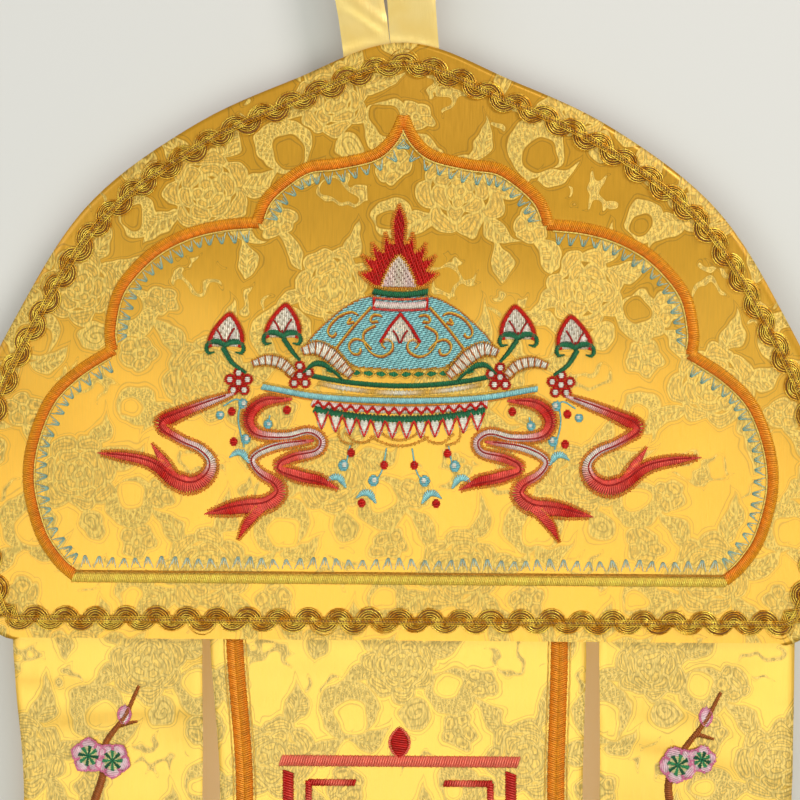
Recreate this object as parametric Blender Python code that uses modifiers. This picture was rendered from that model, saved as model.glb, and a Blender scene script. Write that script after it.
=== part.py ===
# Altar banner of satin damask: a stiff bell-shaped head edged with scalloped braid,
# a folded strap behind its tip to hang it by, and three long panels sewn behind its
# lower edge. Metres, +Z up. X runs to the viewer's right and the front faces -Y.
# The origin is the inner crown of the strap's loop, where a nail or hook carries it.

import math
from collections import namedtuple

import bmesh
import bpy
from mathutils import Vector

# Head
HEAD_AXIS_X = 0.0108        # the head's middle line; the strap leans left going up
HEAD_BASE_Z = -0.3142       # the braid's centre line along the lower edge
HEAD_TILT = math.radians(-0.45)  # the lower edge runs slightly down to the right
HEAD_THICKNESS = 0.0024
HEAD_CROWN = 0.0036         # how far the stiffened middle stands out
HEAD_RIPPLE = 0.0005
HEAD_MARGIN = 0.0072        # cloth outside the braid's centre line
HEAD_COLUMNS = 14
HEAD_ROW_STEP = 3           # braid stations from one row of the head to the next
SPLINE_STEPS = 10           # pieces of each span of the outline's curve
BASE_END_SLOPE = 0.1        # the outline's direction where the lower edge turns up

# Braid
BRAID_SCALLOPS = 77         # on each edge; the two edges are half a scallop apart
STATIONS_PER_SCALLOP = 4
BRAID_HALF_WIDTH = 0.0044   # at the bottom of a scallop
SCALLOP_HEIGHT = 0.0015
BRAID_THICKNESS = 0.0015
BRAID_RIDGE = 0.0004        # the middle stands this much prouder than the edges
BRAID_GAP = 0.0003          # between the braid's back and the head's front
CORNER_ROUNDING = 0.011     # length over which the braid eases round each lower corner

# Panels
PANEL_THICKNESS = 0.0014
PANEL_DEPTH = 0.0023        # the panels' middle surface behind the head's
PANEL_OVERLAP = 0.012       # hidden behind the head, above the braid's centre line
PANEL_SPREAD = 0.080        # the seam holds the tops apart; they settle over this drop
EDGE_CURL = 0.0010          # side edges turn this much towards the viewer
EDGE_WAVE = 0.0009          # a side edge strays this far from straight
SEAM_EASE = 0.020           # below the head's edge, where the folds begin
ROW_HEIGHT = 0.021

# Strap
STRAP_WIDTH = 0.021
STRAP_THICKNESS = 0.0016
STRAP_DEPTH = 0.0027
LOOP_DROP = 0.062           # from the crown down to the foot of the slit
LOOP_LEAN = 0.0070          # the slit's foot lies this far right of the crown
LOOP_WIDTH = 0.0095         # of the slit at the crown
SLIT_WIDTH = 0.0004         # where the two legs meet
SLIT_POWER = 1.7            # how late the slit opens on its way up
STRAP_TAIL = 0.020          # of each leg, below the slit's foot and behind the head
LEG_ROWS = 13
STRAP_CREASE = 0.0006
LEG_CREASE_Z = -0.050       # on the left leg, at x = 0, running down to the right
LEG_CREASE_SLOPE = 0.8
ARCH_CREASE_Z = -0.060      # over the head's tip, highest at the slit
ARCH_CREASE_X = 0.009
ARCH_CREASE_FALL = 9.0
CREASE_SPREAD = 0.0032

WELD = 0.00002              # merges only points that fall on one another

OutlinePoint = namedtuple("OutlinePoint", "half_width height")
Fold = namedtuple("Fold", "drop depth spread slant")
Panel = namedtuple("Panel", "name left right low_left low_right length columns folds")

# The braid's centre line on the head's right half, from the lower corner up to the tip
HEAD_OUTLINE = (
    OutlinePoint(0.1729, 0.0000),
    OutlinePoint(0.1804, 0.0250),
    OutlinePoint(0.1848, 0.0570),
    OutlinePoint(0.1796, 0.0884),
    OutlinePoint(0.1628, 0.1258),
    OutlinePoint(0.1320, 0.1747),
    OutlinePoint(0.0880, 0.2086),
    OutlinePoint(0.0440, 0.2292),
    OutlinePoint(0.0000, 0.2450),
)

# Panels from left to right. The edges are measured from the head's middle line: at the
# seam, and lower down where the cloth hangs free. A fold lies `drop` below the seam,
# stands `depth` towards the viewer and runs aslant by `slant` metres a metre.
PANELS = (
    Panel("left_streamer", -0.1705, -0.0873, -0.1650, -0.0862, 0.780, 6, (
        Fold(0.036, 0.0014, 0.009, 0.02),
        Fold(0.060, -0.0012, 0.012, -0.06),
        Fold(0.112, 0.0018, 0.016, 0.05),
        Fold(0.196, -0.0015, 0.022, -0.04),
        Fold(0.297, 0.0017, 0.018, 0.08),
        Fold(0.405, -0.0013, 0.024, 0.03),
        Fold(0.528, 0.0019, 0.020, -0.06),
        Fold(0.655, -0.0014, 0.026, 0.05),
    )),
    Panel("centre_panel", -0.0834, 0.0821, -0.0790, 0.0812, 0.820, 9, (
        Fold(0.030, -0.0011, 0.010, 0.04),
        Fold(0.083, 0.0016, 0.018, -0.03),
        Fold(0.150, -0.0013, 0.022, 0.05),
        Fold(0.258, 0.0018, 0.020, 0.02),
        Fold(0.371, -0.0015, 0.026, -0.05),
        Fold(0.492, 0.0016, 0.022, 0.06),
        Fold(0.610, -0.0014, 0.024, -0.02),
        Fold(0.724, 0.0017, 0.020, 0.04),
    )),
    Panel("right_streamer", 0.0882, 0.1740, 0.0882, 0.1718, 0.780, 6, (
        Fold(0.028, -0.0012, 0.010, -0.20),
        Fold(0.052, 0.0015, 0.010, 0.32),
        Fold(0.098, -0.0014, 0.016, 0.10),
        Fold(0.178, 0.0016, 0.020, -0.07),
        Fold(0.290, -0.0016, 0.022, 0.05),
        Fold(0.398, 0.0014, 0.018, 0.09),
        Fold(0.520, -0.0017, 0.024, -0.05),
        Fold(0.640, 0.0015, 0.022, 0.04),
    )),
)

GOLD_SATIN = (0.86, 0.55, 0.09)
PALE_SATIN = (0.95, 0.70, 0.26)
GOLD_THREAD = (0.52, 0.31, 0.08)


def new_collection(name):
    """An empty collection of this name, linked to the scene."""
    collection = bpy.data.collections.new(name)
    bpy.context.scene.collection.children.link(collection)
    return collection


def cloth_material(name, colour, roughness, metallic):
    """A Principled material in one colour."""
    material = bpy.data.materials.new(name)
    material.use_nodes = True
    shader = material.node_tree.nodes["Principled BSDF"]
    shader.inputs["Base Color"].default_value = (*colour, 1.0)
    shader.inputs["Roughness"].default_value = roughness
    shader.inputs["Metallic"].default_value = metallic
    return material


def ease(t):
    """0 below t = 0, 1 above t = 1, and a soft step between."""
    t = min(max(t, 0.0), 1.0)
    return t * t * (3.0 - 2.0 * t)


def spline_through(points, steps):
    """A smooth open curve through the points; the first and last only steer it."""
    curve = []
    for before, start, end, after in zip(points, points[1:], points[2:], points[3:]):
        for step in range(steps):
            t = step / steps
            curve.append(0.5 * (
                2.0 * start
                + (end - before) * t
                + (2.0 * before - 5.0 * start + 4.0 * end - after) * t ** 2
                + (3.0 * start - before - 3.0 * end + after) * t ** 3
            ))
    curve.append(points[-2])
    return curve


def evenly_spaced(loop, count):
    """The closed line cut into `count` equal steps."""
    ends = loop[1:] + loop[:1]
    lengths = [(end - start).length for start, end in zip(loop, ends)]
    step = sum(lengths) / count
    spaced = []
    passed = 0.0
    for start, end, length in zip(loop, ends, lengths):
        while len(spaced) < count and len(spaced) * step < passed + length:
            spaced.append(start.lerp(end, (len(spaced) * step - passed) / length))
        passed += length
    return spaced


def braid_line(count):
    """The braid's closed centre line, from the middle of the base and on to the right.

    Each station is its place and the direction out of the head, as (x, height) pairs.
    """
    points = [Vector(point) for point in HEAD_OUTLINE]
    past_tip = Vector((-points[-2].x, points[-2].y))
    below_corner = 2.0 * points[0] - points[1]
    side = spline_through([below_corner, *points, past_tip], SPLINE_STEPS)
    other_side = [Vector((-point.x, point.y)) for point in reversed(side[:-1])]
    loop = evenly_spaced([Vector((0.0, points[0].y)), *side, *other_side], count)

    spacing = (loop[1] - loop[0]).length
    reach = round(CORNER_ROUNDING / spacing / 2.0)
    stations = []
    for index in range(count):
        near = [loop[(index + shift) % count] for shift in range(-reach, reach + 1)]
        place = sum(near, Vector((0.0, 0.0))) / len(near)
        along = (near[-1] - near[0]).normalized()
        stations.append((place, Vector((along.y, -along.x))))
    return stations


def head_relief(x, height):
    """How far the head stands towards the viewer at this place."""
    tall = HEAD_OUTLINE[-1].height
    wide = max(point.half_width for point in HEAD_OUTLINE)
    rise = min(max(height / tall, 0.0), 1.0)
    crown = HEAD_CROWN * max(1.0 - (x / wide) ** 2, 0.0) * math.sin(math.pi * rise)
    ripple = HEAD_RIPPLE * math.sin(x / 0.027 + height / 0.061) * math.sin(height / 0.034)
    return crown + ripple


def on_head(x, height, forward=0.0):
    """World place of a point of the head, `forward` of its middle surface."""
    turned_x = x * math.cos(HEAD_TILT) - height * math.sin(HEAD_TILT)
    turned_z = x * math.sin(HEAD_TILT) + height * math.cos(HEAD_TILT)
    return Vector((
        HEAD_AXIS_X + turned_x,
        -head_relief(x, height) - forward,
        HEAD_BASE_Z + turned_z,
    ))


def sheet(name, columns, rows, place, thickness, material, collection):
    """A cloth sheet: a grid laid by place(across, along), then given its thickness.

    across runs from -1 to 1 and along from 0 to 1.
    """
    grid = bmesh.new()
    bmesh.ops.create_grid(grid, x_segments=columns, y_segments=rows, size=1.0)
    for vert in grid.verts:
        vert.co = place(vert.co.x, (vert.co.y + 1.0) / 2.0)
    bmesh.ops.remove_doubles(grid, verts=grid.verts, dist=WELD)
    mesh = bpy.data.meshes.new(name)
    grid.to_mesh(mesh)
    grid.free()
    mesh.materials.append(material)
    mesh.shade_smooth()
    mesh.set_sharp_from_angle(angle=math.radians(50))
    piece = bpy.data.objects.new(name, mesh)
    collection.objects.link(piece)
    solidify = piece.modifiers.new("Thickness", "SOLIDIFY")
    solidify.thickness = thickness
    solidify.offset = 0.0
    return piece


def make_head(stations, material, collection):
    """The head: rows from the lower edge to the tip, each as wide as the outline."""
    half = stations[:len(stations) // 2 + 1]
    edge = [place + out * HEAD_MARGIN for place, out in half]
    first = next(index for index, (_, out) in enumerate(half) if out.x > BASE_END_SLOPE)
    rows = edge[first:-1:HEAD_ROW_STEP] + [edge[-1]]

    def place(across, along):
        row = rows[round(along * (len(rows) - 1))]
        return on_head(across * row.x, row.y)

    return sheet("head_panel", HEAD_COLUMNS, len(rows) - 1, place,
                 HEAD_THICKNESS, material, collection)


def make_braid(stations, material, collection):
    """The scalloped braid: a flat ring with a slight ridge, sewn round the head's front."""
    count = len(stations)
    lift = HEAD_THICKNESS / 2.0 + BRAID_GAP + BRAID_THICKNESS / 2.0

    def place(across, along):
        index = round(along * count)
        centre, out = stations[index % count]
        phase = math.pi * index / STATIONS_PER_SCALLOP
        swell = abs(math.sin(phase)) if across > 0.0 else abs(math.cos(phase))
        reach = across * (BRAID_HALF_WIDTH + SCALLOP_HEIGHT * swell)
        point = centre + out * reach
        return on_head(point.x, point.y, lift + BRAID_RIDGE * (1.0 - abs(across)))

    return sheet("gimp_braid", 2, count, place, BRAID_THICKNESS, material, collection)


def panel_relief(panel, across, drop):
    """How far a panel stands towards the viewer, `drop` below the seam."""
    half_width = (panel.low_right - panel.low_left) / 2.0
    relief = 0.0
    for fold in panel.folds:
        away = drop - fold.drop - fold.slant * across * half_width
        relief += fold.depth * math.exp(-(away / fold.spread) ** 2)
    curl = EDGE_CURL * across ** 4 * (1.0 + 0.5 * math.sin(drop / 0.041 + 9.0 * across))
    return (relief + curl) * ease((drop - HEAD_MARGIN) / SEAM_EASE)


def panel_edge(top, low, drop, side):
    """A side edge's distance from the head's middle line, `drop` below the seam."""
    settled = ease(drop / PANEL_SPREAD)
    wave = EDGE_WAVE * math.sin(drop / 0.047 + 40.0 * low) * math.sin(drop / 0.113 + side)
    return top + (low - top + wave) * settled


def make_panel(panel, material, collection):
    """A long panel from its seam behind the head down to its hem."""
    rows = round((panel.length + PANEL_OVERLAP) / ROW_HEIGHT)

    def place(across, along):
        drop = panel.length - along * (panel.length + PANEL_OVERLAP)
        left = panel_edge(panel.left, panel.low_left, drop, -1.0)
        right = panel_edge(panel.right, panel.low_right, drop, 1.0)
        x = left + (right - left) * (across + 1.0) / 2.0
        # The seam runs aslant with the head, and the hem hangs level
        slant = math.sin(HEAD_TILT) * x * (1.0 - ease(drop / panel.length))
        depth = PANEL_DEPTH - panel_relief(panel, across, drop)
        return Vector((HEAD_AXIS_X + x, depth, HEAD_BASE_Z + slant - drop))

    return sheet(panel.name, panel.columns, rows, place,
                 PANEL_THICKNESS, material, collection)


def strap_crease(x, z):
    """The crease that crosses the left leg, and the one arched over the head's tip."""
    from_slanting = z - LEG_CREASE_Z + LEG_CREASE_SLOPE * x
    from_arched = z - ARCH_CREASE_Z + ARCH_CREASE_FALL * (x - ARCH_CREASE_X) ** 2
    on_left_leg = ease((LOOP_LEAN - x) / LOOP_LEAN)
    slanting = math.exp(-(from_slanting / CREASE_SPREAD) ** 2) * on_left_leg
    arched = math.exp(-(from_arched / CREASE_SPREAD) ** 2)
    return STRAP_CREASE * (slanting - arched)


def make_strap(material, collection):
    """The strap: up one leg, mitred over the crown and down the other."""
    tail_foot = -LOOP_DROP - STRAP_TAIL
    half_crown = LOOP_WIDTH / 2.0

    def leg_edges(side, z):
        up = 1.0 + z / LOOP_DROP
        middle = LOOP_LEAN * (1.0 - up)
        slit = SLIT_WIDTH + (LOOP_WIDTH - SLIT_WIDTH) * max(up, 0.0) ** SLIT_POWER
        inner = middle + side * slit / 2.0
        return Vector((inner, z)), Vector((inner + side * STRAP_WIDTH, z))

    def mitre_edges(inner_share, outward, up):
        """A station over the crown: its inner end on the crown, its outer on the fold."""
        side = math.copysign(1.0, inner_share)
        inner = Vector((half_crown * inner_share, 0.0))
        outer = Vector((side * (half_crown + STRAP_WIDTH * outward), STRAP_WIDTH * up))
        return inner, outer

    left = [leg_edges(-1.0, tail_foot * (1.0 - row / LEG_ROWS)) for row in range(LEG_ROWS + 1)]
    right = [leg_edges(1.0, tail_foot * row / LEG_ROWS) for row in range(LEG_ROWS + 1)]
    # Both corners of the top are folded at 45 degrees, which leaves a short flat tip
    mitre = [
        mitre_edges(-0.75, 0.5, 0.5),
        mitre_edges(-0.50, 0.0, 1.0),
        mitre_edges(0.50, 0.0, 1.0),
        mitre_edges(0.75, 0.5, 0.5),
    ]
    stations = left + mitre + right

    def place(across, along):
        inner, outer = stations[round(along * (len(stations) - 1))]
        point = inner.lerp(outer, (across + 1.0) / 2.0)
        return Vector((point.x, STRAP_DEPTH - strap_crease(point.x, point.y), point.y))

    return sheet("hanging_loop", 4, len(stations) - 1, place,
                 STRAP_THICKNESS, material, collection)


def main():
    for old in list(bpy.data.objects):
        bpy.data.objects.remove(old)
    banner = new_collection("altar_banner")
    stations = braid_line(BRAID_SCALLOPS * STATIONS_PER_SCALLOP)
    make_head(stations, cloth_material("head damask", GOLD_SATIN, 0.42, 0.0), banner)
    make_braid(stations, cloth_material("antique gold gimp", GOLD_THREAD, 0.38, 0.7), banner)
    make_strap(cloth_material("pale satin strap", PALE_SATIN, 0.36, 0.0), banner)
    for panel in PANELS:
        damask = cloth_material(f"{panel.name} damask", GOLD_SATIN, 0.42, 0.0)
        make_panel(panel, damask, banner)


main()
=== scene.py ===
# Altar banner of satin damask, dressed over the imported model: cloths, strap, gimp braid
# and embroidery. Metres, +Z up, X to the viewer's right, the front faces -Y. The origin
# is the crown of the strap's loop. Embroidery is charted in millimetres.

import math

import bpy
import numpy as np
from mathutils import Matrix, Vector


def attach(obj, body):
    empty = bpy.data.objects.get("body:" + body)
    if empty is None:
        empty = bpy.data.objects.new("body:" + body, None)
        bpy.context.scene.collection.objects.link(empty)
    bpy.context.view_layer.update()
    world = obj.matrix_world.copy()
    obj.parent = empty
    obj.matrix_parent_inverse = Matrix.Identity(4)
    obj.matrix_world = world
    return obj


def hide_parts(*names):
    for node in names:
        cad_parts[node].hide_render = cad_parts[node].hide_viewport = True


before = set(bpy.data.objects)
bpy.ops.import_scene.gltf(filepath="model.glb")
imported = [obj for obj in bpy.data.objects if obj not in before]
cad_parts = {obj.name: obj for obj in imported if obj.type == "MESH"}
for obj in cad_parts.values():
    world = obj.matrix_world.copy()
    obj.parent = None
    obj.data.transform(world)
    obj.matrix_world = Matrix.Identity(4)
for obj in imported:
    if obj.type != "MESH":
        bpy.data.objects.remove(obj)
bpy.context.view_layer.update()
print("frame loaded:", sorted(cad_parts))


def toLinear(hexColour):
    value = int(hexColour.lstrip("#"), 16)
    srgb = [((value >> shift) & 255) / 255.0 for shift in (16, 8, 0)]
    return [c / 12.92 if c <= 0.04045 else ((c + 0.055) / 1.055) ** 2.4 for c in srgb]


def addNode(tree, kind, *inputs, **settings):
    # kind is the node's type, then its operation if it has one; inputs are values, nodes
    # or sockets, in order, or one dictionary of them by name
    kind, _, operation = kind.partition(" ")
    node = tree.nodes.new("ShaderNode" + kind)
    if operation:
        node.operation = operation
    for name, value in settings.items():
        setattr(node, name, value)
    if inputs and isinstance(inputs[0], dict):
        pairs = [(node.inputs[name], value) for name, value in inputs[0].items()]
    else:
        pairs = zip([socket for socket in node.inputs if socket.enabled], inputs)
    for socket, value in pairs:
        if isinstance(value, bpy.types.Node):
            value = next(out for out in value.outputs if out.enabled)
        if isinstance(value, bpy.types.NodeSocket):
            tree.links.new(value, socket)
        elif isinstance(value, str):
            socket.default_value = (*toLinear(value), 1.0)
        elif value is not None:
            socket.default_value = value
    return node


def startMaterial(name):
    # an empty material, and the function that adds a node to it
    material = bpy.data.materials.new(name)
    material.use_nodes = True
    material.node_tree.nodes.clear()

    def add(kind, *inputs, **settings):
        return addNode(material.node_tree, kind, *inputs, **settings)

    return material, add


def finished(material, add, surface):
    # the material with one shader of these inputs on its surface
    add("OutputMaterial", add("BsdfPrincipled", surface))
    return material


def splineThrough(points, steps):
    # a smooth open line through the points; the first and last only steer it
    points = np.asarray(points, float)
    before, start, end, after = (points[k:len(points) - 3 + k, None] for k in range(4))
    t = (np.arange(steps) / steps)[None, :, None]
    line = 0.5 * (2 * start + (end - before) * t
                  + (2 * before - 5 * start + 4 * end - after) * t ** 2
                  + (3 * start - before - 3 * end + after) * t ** 3)
    return np.vstack([line.reshape(-1, points.shape[1]), points[-2:-1]])


def distances(line):
    # how far along the line each of its points lies
    steps = np.linalg.norm(np.diff(line, axis=0), axis=1)
    return np.concatenate([[0.0], np.cumsum(steps)])


def sampled(rows, known, at, period=None):
    # the rows, given at the known places, read off at others
    return np.column_stack([np.interp(at, known, column, period=period)
                            for column in np.asarray(rows).T])


def spacedAlong(line, spacing):
    passed = distances(line)
    count = max(int(round(passed[-1] / spacing)), 1)
    return sampled(line, passed, np.linspace(0.0, passed[-1], count + 1))


def smoothLine(points, spacing):
    points = np.asarray(points, float)
    if len(points) > 2:
        steered = [2 * points[0] - points[1], *points, 2 * points[-1] - points[-2]]
        points = splineThrough(steered, 12)
    return spacedAlong(points, spacing)


def ease(t):
    t = np.clip(t, 0.0, 1.0)
    return t * t * (3.0 - 2.0 * t)


studio = {
    "cameraPlace": (0.011, -0.831, -0.217),
    "lens": 85.0,
    "wallY": 0.024,
    "wallColour": "#E5E1E1",
    "floorZ": -1.30,
    "floorColour": "#DAD6CF",
    "smudge": "#C9C4BC",      # worn patches of both, hardly seen
    "stageSize": 4.0,
    "worldColour": "#F1F0EE",
    "worldStrength": 0.30,
    # name, place, aimed at, width, height, watts, colour
    "lamps": (
        ("key_softbox", (0.95, -1.10, 0.75), (0.0, 0.0, -0.22), 0.6, 0.6, 11.5, "#FFFAF3"),
        ("low_strip", (0.0, -1.30, -0.54), (0.0, 0.0, -0.35), 1.7, 0.75, 11.4, "#F4FFEE"),
        ("left_fill", (-1.3, -1.0, 0.5), (0.0, 0.0, -0.3), 0.8, 0.8, 4.4, "#F4F6FF"),
        # the light that comes through the thin panels onto the wall behind them
        ("panel_glow", (0.0, 0.012, -0.42), (0.0, 1.0, -0.42), 0.30, 0.36, 0.15, "#FFB434"),
    ),
}


def aimed(place, target):
    return (Vector(target) - Vector(place)).to_track_quat("-Z", "Y").to_euler()


bpy.ops.object.select_all(action="DESELECT")
bpy.ops.object.camera_add(location=studio["cameraPlace"], rotation=(math.pi / 2, 0, 0))
camera = bpy.context.active_object
camera.name = "photo_camera"
camera.data.lens = studio["lens"]
camera.data.sensor_width = 36.0
camera.data.clip_start = 0.01
bpy.context.scene.camera = camera

for name, place, target, width, height, watts, colour in studio["lamps"]:
    bpy.ops.object.light_add(type="AREA", location=place, rotation=aimed(place, target))
    lamp = bpy.context.active_object
    lamp.name = name
    lamp.data.shape = "RECTANGLE"
    lamp.data.size = width
    lamp.data.size_y = height
    lamp.data.energy = watts
    lamp.data.color = toLinear(colour)
    lamp.visible_camera = False    # only its light is seen

world = bpy.context.scene.world or bpy.data.worlds.new("studio")
bpy.context.scene.world = world
world.use_nodes = True
world.node_tree.nodes.clear()
sky = addNode(world.node_tree, "Background", studio["worldColour"], studio["worldStrength"])
addNode(world.node_tree, "OutputWorld", sky)
bpy.context.scene.view_settings.view_transform = "Standard"


def makeStage(name, place, turn, colour):
    # seen from its front alone, so that views from behind show the banner's back
    bpy.ops.object.select_all(action="DESELECT")
    bpy.ops.mesh.primitive_plane_add(size=studio["stageSize"], location=place, rotation=turn)
    plane = bpy.context.active_object
    plane.name = name
    bpy.ops.object.transform_apply(location=True, rotation=True, scale=True)
    material, add = startMaterial(name + " matt paint")
    grain = add("TexNoise", add("TexCoord").outputs["Object"], 3.0, 2.0)
    tone = add("Mix", add("MapRange", grain, 0.3, 0.7, 0.0, 0.05), colour, studio["smudge"],
               data_type="RGBA")
    behind = add("NewGeometry").outputs["Backfacing"]
    add("OutputMaterial",
        add("MixShader", behind, add("BsdfDiffuse", tone), add("BsdfTransparent")))
    plane.data.materials.append(material)
    for ray in ("shadow", "diffuse", "glossy", "transmission"):
        setattr(plane, "visible_" + ray, False)


makeStage("wall", (0, studio["wallY"], -0.6), (math.pi / 2, 0, 0), studio["wallColour"])
makeStage("floor", (0, 0, studio["floorZ"]), (0, 0, 0), studio["floorColour"])
print("camera, lamps and stage made")


# Where a point of each cloth lies, as in the CAD source
head = {
    "axisX": 0.0108,
    "baseZ": -0.3142,
    "tilt": math.radians(-0.45),
    "thickness": 0.0024,
    "crown": 0.0036,
    "ripple": 0.0005,
    "rippleWaves": (0.027, 0.061, 0.034),
    "margin": 0.0086,         # cloth outside the braid's centre line
    "turning": 0.011,         # the braid rounds the corners over this length
    "height": 0.2450,
    "halfWidth": 0.1848,
    "rows": 210,
    "columns": 96,
    "tipWidth": 0.0004,
    "stations": 3080,
    "edgeRoll": 0.0009,       # the folded edge turns back this much
    "rollWidth": 0.0028,
    # small waves of the cloth: two wavelengths over 2 pi, phase, height
    "waves": ((0.0110, 0.0150, 0.4, 0.00010), (0.0074, 0.0103, 1.9, 0.00005),
              (0.0190, 0.0092, 3.1, 0.00009)),
    "outline": ((0.1729, 0.0000), (0.1804, 0.0250), (0.1848, 0.0570), (0.1796, 0.0884),
                (0.1628, 0.1258), (0.1320, 0.1747), (0.0880, 0.2086), (0.0440, 0.2292),
                (0.0000, 0.2450)),
}

panels = {
    # left and right edge from the head's middle line, each at the seam and lower down;
    # length; and folds: drop, depth, spread, slant
    "left_streamer": {
        "edges": ((-0.1705, -0.1650), (-0.0873, -0.0862)), "length": 0.780, "columns": 26,
        "folds": ((0.036, 0.0014, 0.009, 0.02), (0.060, -0.0012, 0.012, -0.06),
                  (0.112, 0.0018, 0.016, 0.05), (0.196, -0.0015, 0.022, -0.04),
                  (0.297, 0.0017, 0.018, 0.08), (0.405, -0.0013, 0.024, 0.03),
                  (0.528, 0.0019, 0.020, -0.06), (0.655, -0.0014, 0.026, 0.05)),
        "fine": ((0.018, 0.0005, 0.0035, 0.06), (0.027, -0.0004, 0.004, 0.10),
                 (0.047, -0.0004, 0.004, -0.12), (0.074, 0.0003, 0.005, 0.15),
                 (0.150, 0.0004, 0.006, -0.10), (0.350, 0.0004, 0.007, 0.12),
                 (0.600, 0.0004, 0.007, -0.14)),
    },
    "centre_panel": {
        "edges": ((-0.0834, -0.0790), (0.0821, 0.0812)), "length": 0.820, "columns": 44,
        "folds": ((0.030, -0.0011, 0.010, 0.04), (0.083, 0.0016, 0.018, -0.03),
                  (0.150, -0.0013, 0.022, 0.05), (0.258, 0.0018, 0.020, 0.02),
                  (0.371, -0.0015, 0.026, -0.05), (0.492, 0.0016, 0.022, 0.06),
                  (0.610, -0.0014, 0.024, -0.02), (0.724, 0.0017, 0.020, 0.04)),
        "fine": ((0.014, 0.0003, 0.004, 0.03), (0.048, 0.0003, 0.006, -0.05),
                 (0.190, 0.0003, 0.008, 0.06), (0.430, 0.0003, 0.008, -0.05)),
    },
    "right_streamer": {
        "edges": ((0.0882, 0.0882), (0.1740, 0.1718)), "length": 0.780, "columns": 26,
        "folds": ((0.028, -0.0012, 0.010, -0.20), (0.052, 0.0015, 0.010, 0.32),
                  (0.098, -0.0014, 0.016, 0.10), (0.178, 0.0016, 0.020, -0.07),
                  (0.290, -0.0016, 0.022, 0.05), (0.398, 0.0014, 0.018, 0.09),
                  (0.520, -0.0017, 0.024, -0.05), (0.640, 0.0015, 0.022, 0.04)),
        "fine": ((0.016, 0.0005, 0.0030, -0.22), (0.026, 0.0005, 0.0032, 0.30),
                 (0.038, -0.0005, 0.0035, -0.12), (0.064, -0.0004, 0.004, 0.25),
                 (0.140, 0.0004, 0.006, 0.12), (0.340, 0.0004, 0.007, -0.10),
                 (0.580, 0.0004, 0.007, 0.13)),
    },
}
panelCloth = {
    "thickness": 0.0014,
    "depth": 0.0023,          # the middle surface behind the head's
    "overlap": 0.012,
    "spread": 0.080,
    "curl": 0.0010,
    "edgeWave": 0.0009,
    "edgeWaves": (0.047, 0.113),
    "seamEase": 0.020,
    "seamMargin": 0.0072,
    "rowHeight": 0.0036,
    "edgeRoll": 0.0005,
    "rollWidth": 0.0022,
    "hem": 0.0110,            # width of the hem along the foot
    "sideHem": 0.0048,
    "hemRise": 0.00022,       # a turned hem stands this much prouder
    "hemStep": 0.0008,
    "foldShare": 0.6,         # of the folds' depth that shows under the cloth's own weight
}


def waveRelief(x, up, waves):
    return sum(height * np.sin(x / wide + phase) * np.sin(up / tall + 2.3 * phase)
               for wide, tall, phase, height in waves)


def onHead(x, up, forward):
    # up from the braid's centre line along the base
    rise = np.clip(up / head["height"], 0.0, 1.0)
    crown = head["crown"] * np.maximum(1.0 - (x / head["halfWidth"]) ** 2, 0.0)
    relief = crown * np.sin(np.pi * rise)
    wide, tall, short = head["rippleWaves"]
    relief = relief + head["ripple"] * np.sin(x / wide + up / tall) * np.sin(up / short)
    relief = relief + waveRelief(x, up, head["waves"])
    cosTilt, sinTilt = math.cos(head["tilt"]), math.sin(head["tilt"])
    return np.stack([head["axisX"] + x * cosTilt - up * sinTilt,
                     -relief - forward,
                     head["baseZ"] + x * sinTilt + up * cosTilt], axis=-1)


def panelEdges(panel, drop):
    # the left and the right edge, this far below the seam
    short, long = panelCloth["edgeWaves"]
    return [top + (low - top + panelCloth["edgeWave"] * np.sin(drop / short + 40.0 * low)
                   * np.sin(drop / long + side)) * ease(drop / panelCloth["spread"])
            for side, (top, low) in zip((-1.0, 1.0), panel["edges"])]


def lowWidth(panel):
    (_, lowLeft), (_, lowRight) = panel["edges"]
    return lowRight - lowLeft


def onPanel(name):
    # a place function for one panel; up is negative below the seam
    panel = panels[name]

    def place(x, up, forward):
        drop = -up
        left, right = panelEdges(panel, drop)
        across = 2.0 * (x - left) / (right - left) - 1.0
        relief = 0.0
        for at, depth, spread, slant in panel["folds"] + panel["fine"]:
            away = drop - at - slant * across * lowWidth(panel) / 2.0
            relief = relief + panelCloth["foldShare"] * depth * np.exp(-(away / spread) ** 2)
        curl = panelCloth["curl"] * np.abs(across) ** 4
        relief = relief + curl * (1.0 + 0.5 * np.sin(drop / 0.041 + 9.0 * across))
        relief = relief + waveRelief(x, up, head["waves"])
        relief = relief * ease((drop - panelCloth["seamMargin"]) / panelCloth["seamEase"])
        slant = math.sin(head["tilt"]) * x * (1.0 - ease(drop / panel["length"]))
        return np.stack([head["axisX"] + x,
                         panelCloth["depth"] - relief - forward,
                         head["baseZ"] + slant - drop], axis=-1)

    return place


def braidLine(count):
    # the braid's closed centre line from the middle of the base on to the right, with
    # the direction out of the head at each of its evenly spaced stations
    points = np.array(head["outline"])
    steered = [2 * points[0] - points[1], *points, points[-2] * (-1, 1)]
    side = splineThrough(steered, 10)
    loop = np.vstack([[(0.0, 0.0)], side, side[-2::-1] * (-1, 1), [(0.0, 0.0)]])
    passed = distances(loop)
    loop = sampled(loop, passed, np.arange(count) * passed[-1] / count)
    reach = round(head["turning"] / (passed[-1] / count) / 2.0)
    line = sum(np.roll(loop, shift, axis=0) for shift in range(-reach, reach + 1))
    along = np.roll(loop, -reach, axis=0) - np.roll(loop, reach, axis=0)
    along /= np.linalg.norm(along, axis=1, keepdims=True)
    return line / (2 * reach + 1), np.column_stack([along[:, 1], -along[:, 0]])


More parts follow.
